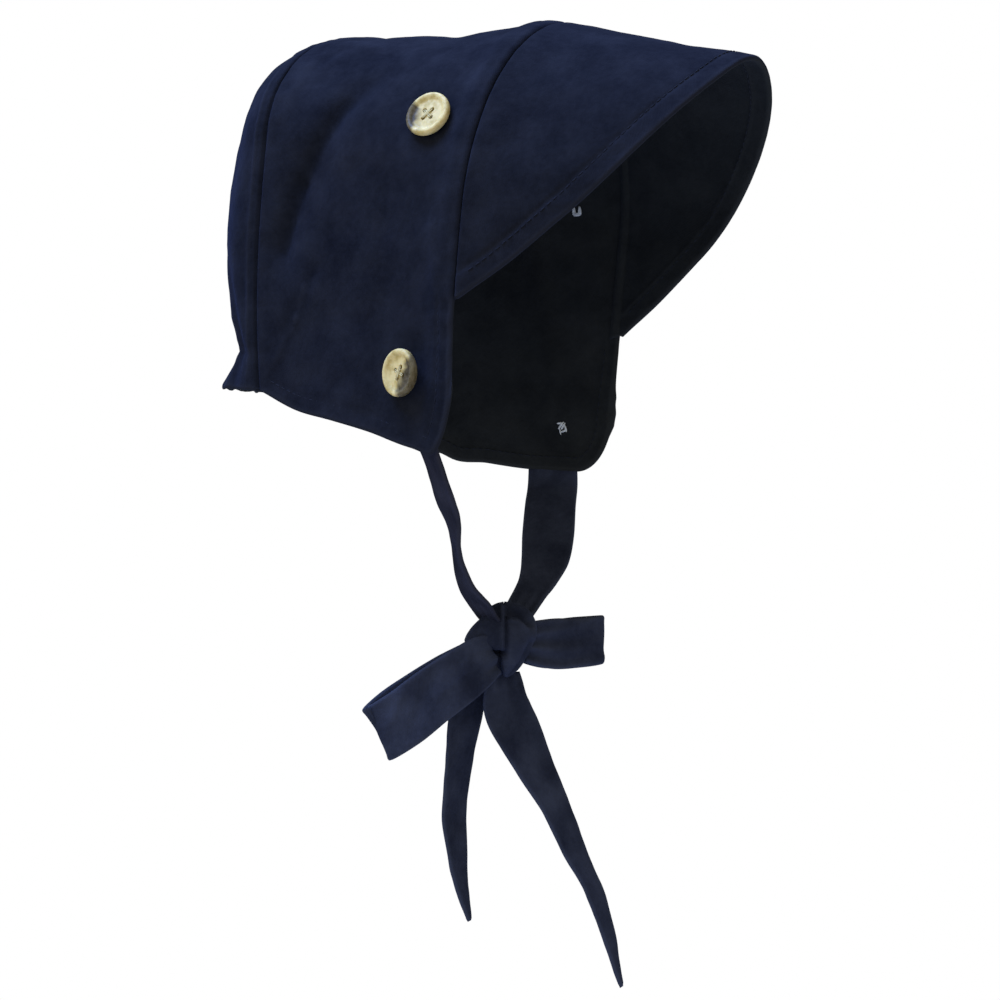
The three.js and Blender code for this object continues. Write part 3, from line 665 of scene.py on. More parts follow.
def back_place(row, column):
    """Rows and columns carry how far past the seam, under the crown, they lie."""
    (b, over_top), (a, over_side) = row, column
    over = max(over_top, over_side)
    s = a * (BACK_SHOULDER + (1 - BACK_SHOULDER) * b)
    if over > 0:
        return tongue(over / CROWN_DEPTH, s)
    base = back_face(b, a)
    gap, sewn = back_edge_at(base)
    free = 1 - sewn
    own = -outward(back_face, b, a)
    seam_gap = gap if sewn else FAR_FROM_SEAM
    out = own.lerp(outward(crown_face, 0.0, s), 1 - smooth_step(seam_gap, 0.0, SEAM_BLEND)).normalized()
    calm = smooth_step(gap, 0.0, BACK_CALM_RUN)
    ridge = bell(seam_gap - RIDGE_PLACE, RIDGE_WIDTH)
    relief = calm * swells(base, BACK_SWELLS) + swells(base, BACK_FUZZ) + RIDGE_HEIGHT * ridge
    gathered = smooth_step(b, 0.55, 0.84) * smooth_step(seam_gap, 0.0, 8.0)
    drift = swells(Vector((base.x, 0, base.z * 0.3)), BACK_DRIFT)
    pleat = math.sin(base.x / GATHER_PITCH * 2 * math.pi + drift)
    relief += gathered * GATHER_DEPTH * pleat * (GATHER_EVEN + swells(base, BACK_UNEVEN))
    relief -= GATHER_DEPTH * bell(b - CASING_PLACE, CASING_WIDTH) * smooth_step(seam_gap, 0.0, 5.0)
    base += own * relief
    fall = rounding(gap, EDGE_RADIUS)
    outer_depth = CROWN_WALL * ROUNDED * (1 + sewn) * fall
    inner_depth = CROWN_WALL * (1 - ROUNDED * free * fall)
    # Paler along the free edge, with painted highlights along the ridge beside the seam and on the crests of
    # the gathers.
    wear_and_light = 0.8 * ridge + free * (1 - smooth_step(gap, 0.6, 2.6)) + 0.3 * gathered * max(pleat, 0.0)
    return base - out * outer_depth, base - out * inner_depth, wear_and_light


back_rows = [(0.0, over) for over in TONGUE_STEPS]
back_rows += [((k / 86) ** BACK_SPREAD, 0.0) for k in range(83)]
back_rows += [(1 - d / 110, 0.0) for d in (2.2, 1.3, 0.7, 0.3, 0.0)]
back_columns = [(-1.0, over) for over in TONGUE_STEPS]
back_columns += [(math.sin((k / 64 - 1) * math.pi / 2), 0.0) for k in range(129)]
back_columns += [(1.0, over) for over in reversed(TONGUE_STEPS)]
back = cloth_wall("back", back_rows, back_columns, back_place, (165, 190))
finish_cloth(back, navy, lining, "back_panel")

# Brim: two layers over a stiffened cloth, cut as a deep crescent, seamed to the crown's front edge with a
# tongue turned in under the crown, and topstitched 8 mm inside its outer edge.
BRIM_WALL = 2.4
STITCH_INSET = 8.0
# The outer edge from the brim's middle (0) to its end (1): place, forward, down, inward.
BRIM_REACH = [
    (-0.25, 75.0, 20.3, -8.5),
    (0.0, 77.5, 20.5, 0.0),
    (0.25, 75.0, 20.3, 8.5),
    (0.45, 65.5, 17.6, 10.6),
    (0.65, 49.0, 12.8, 9.2),
    (0.85, 24.0, 6.3, 4.4),
    (1.0, 1.2, 0.4, 0.0),
]
# The outer edge takes back this much of the front edge's ease, and by the power less of it at its ends.
EASE_TAKEN = 1.3
EASE_END_POWER = 6
brim_seam_points = {}


def brim_seam(v):
    key = round(v, 6)
    if key not in brim_seam_points:
        brim_seam_points[key] = crown_outer(1.0, key * BRIM_END) - Vector((0, SEAM_GAP, 0))
    return brim_seam_points[key]


def brim_face(w, v):
    """The brim's outer face: w from the seam to the outer edge, v from its right end to its left."""
    forward, down, inward = (between(BRIM_REACH, abs(v), k) for k in (1, 2, 3))
    taken = EASE_TAKEN * front_ease(v * BRIM_END) * (1 - abs(v) ** EASE_END_POWER)
    return brim_seam(v) + Vector((-math.copysign(inward, v), taken - forward, -down)) * w


brim_rim_at = edge_finder([(brim_face(1.0, k / 300 - 1), 0.0) for k in range(601)])
brim_root_at = edge_finder([(brim_face(0.0, k / 300 - 1), 1.0) for k in range(601)])

# The brim's swells, the puckers of its stitched border and of its seam, and its own edges.
BRIM_SWELLS = [(0.55, 32, 10), (0.25, 13, 11)]
BRIM_FUZZ = [(0.06, 4, 12)]
BORDER_PUCKERS = [(0.22, 5.0, 13)]
SEAM_PUCKERS = [(0.4, 6, 14)]
BRIM_GROOVE_DEPTH = 0.42
BRIM_ROUNDED = 0.42
BRIM_SUNK = 0.85
RIM_RADIUS = 1.5
LEAST_WALL = 0.2


def brim_place(row, v):
    w, over = row
    if over > 0:
        return tongue(1 - over / CROWN_DEPTH, v * BRIM_END)
    base = brim_face(w, v)
    rim_gap = brim_rim_at(base)[0]
    root_gap = brim_root_at(base)[0]
    own = outward(brim_face, w, v)
    seam_share = 1 - smooth_step(root_gap, 0.0, SEAM_BLEND)
    out = own.lerp(outward(crown_face, 1.0, v * BRIM_END), seam_share).normalized()
    calm = smooth_step(min(rim_gap, root_gap), 0.0, CALM_RUN)
    groove = bell(rim_gap - STITCH_INSET, GROOVE_WIDTH)
    border = smooth_step(rim_gap, 0.8, 3.0) * (1 - smooth_step(rim_gap, 6.5, 9.5))
    pucker = math.exp(-root_gap / 4.0) * (1 - math.exp(-root_gap / PUCKER_START))
    relief = calm * swells(base, BRIM_SWELLS) + swells(base, BRIM_FUZZ) - BRIM_GROOVE_DEPTH * groove
    relief += border * swells(Vector((base.x, base.z, 0.0)), BORDER_PUCKERS)
    relief += pucker * swells(base, SEAM_PUCKERS)
    base += own * relief
    rim_fall = rounding(rim_gap, RIM_RADIUS)
    root_fall = rounding(root_gap, EDGE_RADIUS) * (1 - 0.6 * smooth_step(abs(v), 0.4, 0.8))
    outer_depth = BRIM_WALL * max(BRIM_ROUNDED * rim_fall, BRIM_SUNK * root_fall)
    inner_depth = max(BRIM_WALL * (1 - BRIM_ROUNDED * rim_fall), outer_depth + LEAST_WALL)
    wear_and_light = 1 - smooth_step(rim_gap, 0.5, 2.4) + 0.3 * groove
    return base - out * outer_depth, base - out * inner_depth, wear_and_light


BRIM_DEPTH = 78
brim_rows = [(0.0, over) for over in TONGUE_STEPS]
brim_rows += [(d / BRIM_DEPTH, 0.0) for d in (0.0, 0.15, 0.4, 0.8, 1.3)]
brim_rows += [((1.9 + (66.5 - 1.9) * k / 44) / BRIM_DEPTH, 0.0) for k in range(45)]
brim_rows += [((66.5 + (76.4 - 66.5) * k / 14) / BRIM_DEPTH, 0.0) for k in range(1, 15)]
brim_rows += [(1 - d / BRIM_DEPTH, 0.0) for d in (1.1, 0.7, 0.4, 0.15, 0.0)]
brim_columns = [k / 105 - 1 for k in range(211)]
brim = cloth_wall("brim_cloth", brim_rows, brim_columns, brim_place, (85, 360))
finish_cloth(brim, navy, lining, "brim")

# Stitches: polyester thread a shade paler than the cloth, each stitch a small grain lying in its groove.
STITCH_LENGTH = 2.5
STITCH_PITCH = 3.1
STITCH_WIDTH = 0.42


def grain(bm, middle, along, out, length, width, sides=8):
    """One short strand of thread: a long grain lying on a surface."""
    axes = (along * length / 2, along.cross(out) * width / 2, out * width / 2)
    turn = Matrix(axes).transposed().to_4x4()
    turn.translation = middle
    bmesh.ops.create_uvsphere(bm, u_segments=sides, v_segments=sides - 2, radius=1.0,
                              matrix=Matrix.Scale(MM, 4) @ turn @ Matrix.Rotation(math.pi / 2, 4, "Y"))


def finish_thread(name, bm, material):
    bmesh.ops.recalc_face_normals(bm, faces=bm.faces)
    for face in bm.faces:
        face.smooth = True
    piece = make_piece(name, bm)
    piece.data.materials.append(material)
    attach(piece, "root")
    return piece


def stitch_row(name, run, material, rise=0.12):
    """One row of stitches along a run of (point, direction out) in millimetres."""
    bm = bmesh.new()
    travelled, due = 0.0, STITCH_PITCH
    for (a, _), (b, facing) in zip(run, run[1:]):
        length = (b - a).length
        travelled += length
        if travelled < due or length < 1e-6:
            continue
        due += STITCH_PITCH
        along = (b - a).normalized()
        out = (facing - along * facing.dot(along)).normalized()
        grain(bm, b + out * rise, along, out, STITCH_LENGTH, STITCH_WIDTH, sides=6)
    return finish_thread(name, bm, material)


def sewing_thread(name, dark, pale):
    material, tree, surface = make_material(name, {"Roughness": 0.7, "Specular IOR Level": 0.1})
    place = tree.nodes.new("ShaderNodeTexCoord")
    shade = mix_colours(tree, noise_node(tree, place.outputs["Object"], 900.0, 2.0), dark, pale)
    tree.links.new(shade, surface.inputs["Base Color"])
    return material


thread = sewing_thread("navy thread", (0.006, 0.007, 0.011, 1), (0.0125, 0.014, 0.0195, 1))
dark_thread = sewing_thread("dark thread", (0.006, 0.007, 0.009, 1), (0.014, 0.016, 0.02, 1))

# The row lies along the slanted brim, so it is this much further from the edge toward the seam, and it stops
# short of the brim's ends.
STITCH_SLANT = 1.12
STITCHED_SHARE = 0.93
STITCHED_FROM = 0.08


def brim_line(inset, side):
    """A run along the brim at a distance from its outer edge, on its outer (1) or inner (-1) face."""
    run = []
    for k in range(1201):
        v = (k / 600 - 1) * STITCHED_SHARE
        reach = math.hypot(*(between(BRIM_REACH, abs(v), column) for column in (1, 2, 3)))
        w = 1 - inset * STITCH_SLANT / reach
        if w < STITCHED_FROM:
            continue
        out, within, _ = brim_place((w, 0.0), v)
        face = outward(brim_face, w, v)
        run.append((out, face) if side > 0 else (within, -face))
    return run


brim_topstitch = stitch_row("brim_topstitch", brim_line(STITCH_INSET, 1), thread)
brim_understitch = stitch_row("brim_understitch", brim_line(STITCH_INSET, -1), dark_thread)

# Where the hem's stitches start, how far up the front edge they go, and the middle about which they turn the
# corner.
HEM_FROM = 0.03
HEM_UP = 0.25
HEM_CORNER = (0.85, 0.87)


def hem_line(side, face):
    """A run of stitches HEM_INSET inside the crown's free edge on one side: along the hem, round the corner
    and up the front edge to the brim, on the outer (1) or inner (-1) face."""
    edge = [(1 - (1 - (HEM_FROM + (1 - HEM_FROM) * k / 500)) ** 1.3, 1.0) for k in range(501)]
    edge += [(1.0, 1 - HEM_UP * k / 200) for k in range(1, 201)]
    run = []
    for u_edge, s_edge in edge:
        u_in, s_in = min(u_edge, HEM_CORNER[0]), min(s_edge, HEM_CORNER[1])
        low, high = 0.0, 1.0
        for _ in range(12):
            t = (low + high) / 2
            u, s = u_in + (u_edge - u_in) * t, s_in + (s_edge - s_in) * t
            if crown_edge_at(crown_outer(u, s * side))[0] > HEM_INSET:
                low = t
            else:
                high = t
        out, within, _ = crown_place(u, s * side)
        facing = outward(crown_face, u, s * side)
        run.append((out, facing) if face > 0 else (within, -facing))
    return run


hem_stitches = [
    stitch_row("hem_stitches_" + name, hem_line(side, face), material, 0.05)
    for name, side, face, material in (
        ("right_outer", -1, 1, thread), ("right_inner", -1, -1, dark_thread),
        ("left_outer", 1, 1, thread), ("left_inner", 1, -1, dark_thread),
    )
]

# Buttons: four-hole buttons of pale horn with a dark cloud on one side, turned with a raised rim, and sewn
# on flat through both layers with cream thread crossed between the holes.
BUTTON_RADIUS = 9.0
BUTTON_WELL = 5.7
BUTTON_FLOOR = 2.3
HOLE_RADIUS = 0.85
HOLE_SPACING = 2.3
HOLE_TURNS = (45, 135, 225, 315)
HOLE_SEGMENTS = 16
HOLE_BEVEL = 0.18
BUTTON_SEGMENTS = 56
# The edge of the dark cloud: its size of grain, how ragged and how soft it is, and its fading on the rim.
CLOUD_GRAIN = 3.2
CLOUD_RAGGED = 0.35
CLOUD_SOFT = 0.24
RIM_FADE = (0.08, 6.4, 7.6)
# Radius and height round the rim, from the well's edge over the top and under to the back.
BUTTON_OUTLINE = [
    (BUTTON_WELL, BUTTON_FLOOR), (6.1, 2.36), (6.5, 2.58), (6.9, 2.95), (7.35, 3.25), (7.85, 3.4),
    (8.35, 3.33), (8.75, 3.02), (8.97, 2.5), (9.0, 1.8), (8.9, 1.15), (8.55, 0.55), (7.9, 0.12), (7.2, 0.0),
    (BUTTON_WELL, 0.0),
]
# Name, u and s on the crown, tip toward the back in degrees, which way its dark cloud lies, and how far from
# the middle, as a share of the radius, the cloud starts.
BUTTON_PLACES = [
    ("button_right_upper", 0.76, -0.393, 0, 94, 0.4),
    ("button_right_lower", 0.79, -0.866, 11, -136, 0.14),
    ("button_left_upper", 0.74, 0.467, 0, 200, 0.3),
    ("button_left_lower", 0.767, 0.911, 0, 20, 0.35),
]


def button_at(name, place, cloud, start):
    bm = bmesh.new()
    cloudy = bm.verts.layers.float.new("cloud")
    ring = [bm.verts.new((radius, 0.0, height)) for radius, height in BUTTON_OUTLINE]
    ring_edges = [bm.edges.new(pair) for pair in zip(ring, ring[1:])]
    bmesh.ops.spin(bm, geom=ring + ring_edges, cent=(0, 0, 0), axis=(0, 0, 1), angle=2 * math.pi,
                   steps=BUTTON_SEGMENTS, use_merge=True)
    for face in bm.faces:
        face.smooth = True
    well = [e for e in bm.edges if e.is_boundary and e.verts[0].co.z > 1]
    back_ring = [e for e in bm.edges if e.is_boundary and e.verts[0].co.z < 1]
    hole_tops = []
    for degrees in HOLE_TURNS:
        turn = math.radians(degrees)
        middle = Vector((HOLE_SPACING * math.cos(turn), HOLE_SPACING * math.sin(turn), BUTTON_FLOOR))
        circle = bmesh.ops.create_circle(bm, segments=HOLE_SEGMENTS, radius=HOLE_RADIUS,
                                         matrix=Matrix.Translation(middle))
        edges = list({e for v in circle["verts"] for e in v.link_edges})
        sides = bmesh.ops.extrude_edge_only(bm, edges=edges)["geom"]
        lower = [g for g in sides if isinstance(g, bmesh.types.BMVert)]
        bmesh.ops.translate(bm, verts=lower, vec=(0, 0, -BUTTON_FLOOR))
        hole_tops += edges
        back_ring += [g for g in sides if isinstance(g, bmesh.types.BMEdge) and g.is_boundary
                      and all(v.co.z < 1 for v in g.verts)]
    bmesh.ops.triangle_fill(bm, use_beauty=True, edges=well + hole_tops)
    bmesh.ops.triangle_fill(bm, use_beauty=True, edges=back_ring)
    bmesh.ops.remove_doubles(bm, verts=bm.verts, dist=0.001)
    tops = [
        e for e in bm.edges if e.calc_face_angle(0) > 1
        and all(abs(v.co.z - BUTTON_FLOOR) < 0.001 and v.co.xy.length < 4 for v in e.verts)
    ]
    bmesh.ops.bevel(bm, geom=tops, offset=HOLE_BEVEL, segments=2, profile=0.5, affect="EDGES", material=-1)
    bmesh.ops.recalc_face_normals(bm, faces=bm.faces)
    toward = Vector((math.cos(math.radians(cloud)), math.sin(math.radians(cloud)), 0))
    fade, fade_start, fade_end = RIM_FADE
    for vert in bm.verts:
        ragged = noise.noise(vert.co / CLOUD_GRAIN + Vector((cloud, 0, 0)))
        drift = vert.co.dot(toward) / BUTTON_RADIUS + CLOUD_RAGGED * ragged
        rim = 1 - fade * smooth_step(vert.co.xy.length, fade_start, fade_end)
        vert[cloudy] = smooth_step(drift, start, start + CLOUD_SOFT) * rim
    bm.transform(Matrix.Scale(MM, 4) @ place)
    return make_piece(name + "_horn", bm)


def sewn_strands(name, strands, material):
    """A few strands of thread, each given as its middle, its run, the way out, its length and its width."""
    bm = bmesh.new()
    for middle, run, out, length, width in strands:
        grain(bm, middle, (run - out * run.dot(out)).normalized(), out, length, width)
    finish_thread(name, bm, material)


# Over the holes: the turn and the height of each pair of strands, how far apart its two lie, and how long
# and wide they are.
PAIRS = ((45, 0.1), (135, 0.35))
PAIR_OFFSETS = (-0.3, 0.3)
STRAND_LENGTH = 2 * HOLE_SPACING + 0.9
STRAND_WIDTH = 0.5


def crossed_strands(place):
    """Two pairs of strands crossed over a button's four holes."""
    spin = place.to_3x3()
    out = spin @ Vector((0, 0, 1))
    strands = []
    for degrees, height in PAIRS:
        turn = math.radians(degrees)
        along = spin @ Vector((math.cos(turn), math.sin(turn), 0))
        for offset in PAIR_OFFSETS:
            middle = place @ Vector((0, 0, BUTTON_FLOOR + height)) + along.cross(out) * offset
            strands.append((middle, along, out, STRAND_LENGTH, STRAND_WIDTH))
    return strands


# The same stitches inside the crown: aside, up, the run aside and up, length and width. Behind the upper
# buttons they lie as two upright bundles joined below, and behind the lower ones as a knotted cross.
INNER_LIFT = 0.25
INNER_BUNDLES = [
    (-1.6, 0.4, 0.1, 1, 3.8, 1.0),
    (-1.0, 0.4, -0.1, 1, 3.8, 0.9),
    (1.0, 0.4, 0.15, 1, 3.8, 0.9),
    (1.6, 0.4, -0.05, 1, 3.8, 1.0),
    (0.0, -0.9, 1, 0, 3.6, 0.9),
    (0.0, -1.5, 1, 0, 3.4, 0.9),
]
INNER_CROSS = [
    (0.8, 0.9, -0.75, 1, 4.2, 1.1),
    (1.4, 1.9, -1, 0.1, 2.6, 1.0),
    (-0.2, 0.6, -0.6, 1, 3.6, 1.0),
    (-1.3, -0.5, 0.25, 1, 3.2, 1.0),
    (-0.4, -1.5, -1, 0.35, 3.0, 1.0),
    (1.1, -1.8, 0.2, 1, 2.6, 0.7),
]


def inner_strands(point, out, stitches):
    up = Vector((0, 0, 1))
    side = out.cross(up).normalized()
    middle = point + out * INNER_LIFT
    return [(middle + side * aside + up * high, side * run_aside + up * run_up, out, length, width)
            for aside, high, run_aside, run_up, length, width in stitches]


horn, tree, surface = make_material("pale horn", {
    "Specular IOR Level": 0.06, "Subsurface Weight": 0.15, "Subsurface Radius": (0.002, 0.0012, 0.0006)})
horn_place = tree.nodes.new("ShaderNodeTexCoord").outputs["Object"]
horn_cloud = tree.nodes.new("ShaderNodeAttribute")
horn_cloud.attribute_name = "cloud"
veins = ramp_node(tree, noise_node(tree, horn_place, 260.0, 4.0, 0.6), 0.42, 0.62)
flecks = ramp_node(tree, noise_node(tree, horn_place, 700.0, 3.0, 0.6), 0.35, 0.7)
cream = mix_colours(tree, veins, (0.60, 0.46, 0.18, 1), (0.43, 0.31, 0.095, 1))
brown = mix_colours(tree, flecks, (0.016, 0.012, 0.007, 1), (0.075, 0.056, 0.032, 1))
clouded = math_node(tree, "MULTIPLY", horn_cloud.outputs["Fac"], 0.95)
tree.links.new(mix_colours(tree, clouded, cream, brown), surface.inputs["Base Color"])
tree.links.new(ramp_node(tree, flecks, 0.0, 1.0, 0.24, 0.38), surface.inputs["Roughness"])
add_bump(tree, flecks, surface, 0.2, 0.0002)

cream_thread = sewing_thread("cream thread", (0.48, 0.39, 0.16, 1), (0.62, 0.52, 0.25, 1))
pale_thread = sewing_thread("pale thread", (0.36, 0.36, 0.31, 1), (0.66, 0.66, 0.58, 1))

for name, u, s, tip, cloud, start in BUTTON_PLACES:
    out = outward(crown_face, u, s)
    tipped = math.radians(tip)
    facing = Matrix.Rotation(math.copysign(tipped, s), 3, "Z") @ out
    place = Vector((0, 0, 1)).rotation_difference(facing).to_matrix().to_4x4()
    place.translation = crown_outer(u, s) + out * (SEAM_GAP + BUTTON_RADIUS * math.sin(tipped))
    button = button_at(name, place, cloud, start)
    button.data.materials.append(horn)
    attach(button, "root")
    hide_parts(name)
    sewn_strands(name + "_thread", crossed_strands(place), cream_thread)
    stitches = INNER_BUNDLES if "upper" in name else INNER_CROSS
    sewn_strands(name + "_inner_thread", inner_strands(crown_place(u, s)[1], -out, stitches), pale_thread)

# Knot: where the two ties are wound round each other, tight and rounded. The last turn binds it from its top
# down its right side, with a dark hollow where the turns part.
KNOT_MIDDLE = Vector((0.0, -16.3, -241.7))
KNOT_HALF = Vector((11.5, 9.5, 15.0))
KNOT_TURN = math.radians(-37)
KNOT_ALONG = Vector((math.cos(KNOT_TURN), math.sin(KNOT_TURN), 0))
KNOT_DEEP = Vector((-math.sin(KNOT_TURN), math.cos(KNOT_TURN), 0))
VIEW_RIGHT = -VIEW_LEFT


def knot_reach(point):
    """How far a point is from the knot's middle, as a share of the way to its face."""
    offset = point - KNOT_MIDDLE
    return math.sqrt((offset.dot(KNOT_ALONG) / KNOT_HALF.x) ** 2 + (offset.dot(KNOT_DEEP) / KNOT_HALF.y) ** 2
                     + (offset.z / KNOT_HALF.z) ** 2)


def near_line(a, b, line):
    """Distance from (a, b) to a bent line, and how far along it, from 0 to 1, the nearest place is."""
    best, place = 1e9, 0.0
    for k in range(len(line) - 1):
        (a1, b1), (a2, b2) = line[k], line[k + 1]
        da, db = a2 - a1, b2 - b1
        t = min(max(((a - a1) * da + (b - b1) * db) / (da * da + db * db), 0.0), 1.0)
        off = math.hypot(a - a1 - t * da, b - b1 - t * db)
        if off < best:
            best, place = off, (k + t) / (len(line) - 1)
    return best, place


# Creases of the knot's front, to the right and up from its middle: line, width and height, with a height
# below zero for a groove.
KNOT_CREASES = [
    ([(-0.9, 15), (-0.6, 8), (-0.2, -3.6)], 1.0, 1.2),
    ([(1.0, 10), (1.1, 4), (0.9, -4)], 0.8, -1.5),
    ([(4.8, 15), (9.6, 11.6), (12.4, 6.4), (12.8, 1)], 1.2, 1.3),
    ([(1.8, 12.4), (6.4, 11.0), (10.2, 7.4)], 1.9, -2.2),
    ([(1.6, 8.6), (6.0, 8.2), (9.4, 5.0)], 0.9, 0.8),
    ([(-4.8, -5.2), (-0.4, -5.0)], 1.3, -4.4),
    ([(-1.6, -6), (-1.5, -9), (-1.0, -15)], 0.9, -2.8),
    ([(4.4, 6), (4.8, 0), (2.8, -9), (0.6, -14)], 3.2, 1.2),
    ([(-5.5, 11), (-9.0, 5), (-13, 1.5)], 3.2, 1.0),
    ([(-12, -1.0), (-5.0, -3.2)], 1.0, -1.4),
    ([(11.8, -1), (8.0, -8), (3.0, -13.5)], 1.6, -1.6),
]
# How far the knot's outline stands beyond an even round, by the angle round it from its right side.
KNOT_OUTLINE = [
    (-180, 1.31), (-150, 1.12), (-120, 1.0), (-90, 0.97), (-60, 0.93), (-33, 1.0), (0, 1.2), (38, 1.17),
    (65, 1.05), (90, 0.98), (135, 1.02), (160, 1.16), (180, 1.31),
]
# Turns that show behind: their height, how many there are and how they climb and wander. Then the swells.
KNOT_TURNS = (0.9, 2.6, 0.22)
KNOT_DRIFT = [(1.3, 14, 21)]
KNOT_SWELLS = [(0.3, 9, 22), (0.1, 4, 23)]
KNOT_FLECKS = [(0.2, 6, 24)]


def knot_relief(a, b):
    return sum(height * bell(near_line(a, b, line)[0], width) for line, width, height in KNOT_CREASES)


bm = bmesh.new()
knot_wear_and_painted_light = bm.verts.layers.float.new("wear_and_painted_light")
knot_map = bm.loops.layers.uv.new("cloth")
bmesh.ops.create_uvsphere(bm, u_segments=128, v_segments=88, radius=1.0)
for vert in bm.verts:
    unit = vert.co.copy()
    offset = KNOT_ALONG * unit.x * KNOT_HALF.x + KNOT_DEEP * unit.y * KNOT_HALF.y
    offset.z = unit.z * KNOT_HALF.z
    a, b = offset.dot(VIEW_RIGHT), offset.z
    wider = between(KNOT_OUTLINE, math.degrees(math.atan2(b, a)), 1) - 1
    wider *= smooth_step(math.hypot(a, b), 2.0, 9.0)
    offset += VIEW_RIGHT * a * wider
    offset.z += b * wider
    point = KNOT_MIDDLE + offset
    a, b = offset.dot(VIEW_RIGHT), offset.z
    out = (KNOT_ALONG * unit.x / KNOT_HALF.x + KNOT_DEEP * unit.y / KNOT_HALF.y
           + Vector((0, 0, unit.z / KNOT_HALF.z))).normalized()
    facing = smooth_step(-out.dot(VIEW_DIRECTION), 0.0, 0.55)
    height, turns, climb = KNOT_TURNS
    turn = turns * math.atan2(unit.y, unit.x) + climb * b + swells(point, KNOT_DRIFT)
    relief = facing * knot_relief(a, b) + (1 - facing) * height * math.sin(turn) + swells(point, KNOT_SWELLS)
    point += out * relief
    # Painted shade over the left of the knot's front, and painted highlights and shade where its cloth
    # stands out or sinks.
    shaded = 0.55 * facing * smooth_step(-a, -1.0, 3.0)
    vert[knot_wear_and_painted_light] = 0.25 * relief - shaded + swells(point, KNOT_FLECKS)
    vert.co = point * MM
for face in bm.faces:
    face.smooth = True
    for loop in face.loops:
        loop[knot_map].uv = (loop.vert.co.dot(KNOT_ALONG), loop.vert.co.z)
knot = make_piece("knot_cloth", bm)
# The knot wears the ties' cotton, painted lighter than the crown's navy.
finish_cloth(knot, lit_tie_cotton, lit_tie_cotton, "knot")

# Ties: flat bands of the same cotton, sewn as tubes, turned and pressed. Each is caught in the crown's lower
# edge beside the face, hangs with a twist and draws together where it goes into the knot.
TIE_WALL = 1.5
TIE_WIDTH = 22.0
TIE_EDGE = 0.9
TIE_COLUMNS = [-1, -0.985, -0.955, -0.9] + [k / 9 for k in range(-7, 8)] + [0.9, 0.955, 0.985, 1]
# Middle lines: x, y, z, width, and the way the width lies: its angle from +X seen from above, and its rise.
RIGHT_TIE = [
    (-66.9, -12.6, -149, 26, 84, 0), (-65.9, -14.6, -157, 25, 70, 0), (-63.1, -17.9, -166, 19, 50, 0),
    (-58.2, -20.0, -178.7, 19, 47, 0), (-50.1, -19.1, -189.5, 19, 47, 0), (-42.1, -17.0, -199.7, 19, 34, 0),
    (-30.1, -14.4, -213.5, 18, 39, 0), (-21.3, -13.6, -222.3, 16, 54, 0), (-10.6, -13.2, -229.8, 13, 66, 0),
    (-2.5, -14.6, -236.5, 12, 80, 0),
]
LEFT_TIE = [
    (68.6, -4.3, -171.6, 22, -80, 0), (66.4, -5.2, -179.5, 22, -76, 0), (60.0, -7.4, -187, 22, -70, 0),
    (48.5, -12.0, -200.7, 22, -62, 0), (38.5, -15.6, -210.6, 20, -60, 0), (28.0, -17.6, -218.6, 16, -58, 0),
    (19.0, -18.1, -224.4, 13.5, -58, 0), (7.0, -17.5, -234, 12, -60, 0),
]


def strap_place(rows, t):
    """Where a strap's middle line is at t from 0 to 1, and which way it runs: a centripetal curve."""
    points = [Vector(row[:3]) for row in rows]
    place = t * (len(points) - 1)
    k = min(int(place), len(points) - 2)
    local = place - k
    p1, p2 = points[k], points[k + 1]
    p0 = points[k - 1] if k > 0 else p1 * 2 - p2
    p3 = points[k + 2] if k + 2 < len(points) else p2 * 2 - p1
    d0, d1, d2 = (max((q - p).length, 1e-4) ** 0.5 for p, q in ((p0, p1), (p1, p2), (p2, p3)))
    m1 = ((p1 - p0) / d0 - (p2 - p0) / (d0 + d1) + (p2 - p1) / d1) * d1
    m2 = ((p2 - p1) / d1 - (p3 - p1) / (d1 + d2) + (p3 - p2) / d2) * d1
    l2, l3 = local * local, local ** 3
    middle = p1 * (2 * l3 - 3 * l2 + 1) + m1 * (l3 - 2 * l2 + local) + p2 * (3 * l2 - 2 * l3)
    middle += m2 * (l3 - l2)
    along = p1 * (6 * l2 - 6 * local) + m1 * (3 * l2 - 4 * local + 1) + p2 * (6 * local - 6 * l2)
    along += m2 * (3 * l2 - 2 * local)
    return middle, along.normalized()


def strap_faces(rows, t):
    """The strap's middle, its directions along, across and out of the cloth, and half its width."""
    table = [(k / (len(rows) - 1), *row[3:]) for k, row in enumerate(rows)]
    middle, along = strap_place(rows, t)
    across, rise = (math.radians(between(table, t, column)) for column in (2, 3))
    wide = Vector((math.cos(rise) * math.cos(across), math.cos(rise) * math.sin(across), math.sin(rise)))
    wide = (wide - along * wide.dot(along)).normalized()
    return middle, along, wide, along.cross(wide).normalized(), between(table, t, 1) / 2


# How deep in the knot a band ends and how its pleats lie there; then how much thicker it is along its edges,
# how far in and how wide, and how thin the edge itself may get.
KNOT_HOLD = 0.86
PLEAT_RUN = 0.9
PLEAT_GROWTH = 1.6
PLEAT_TURNS = 3.3
EDGE_SEAM = (0.25, 1.3, 0.8)
LEAST_EDGE = 0.12


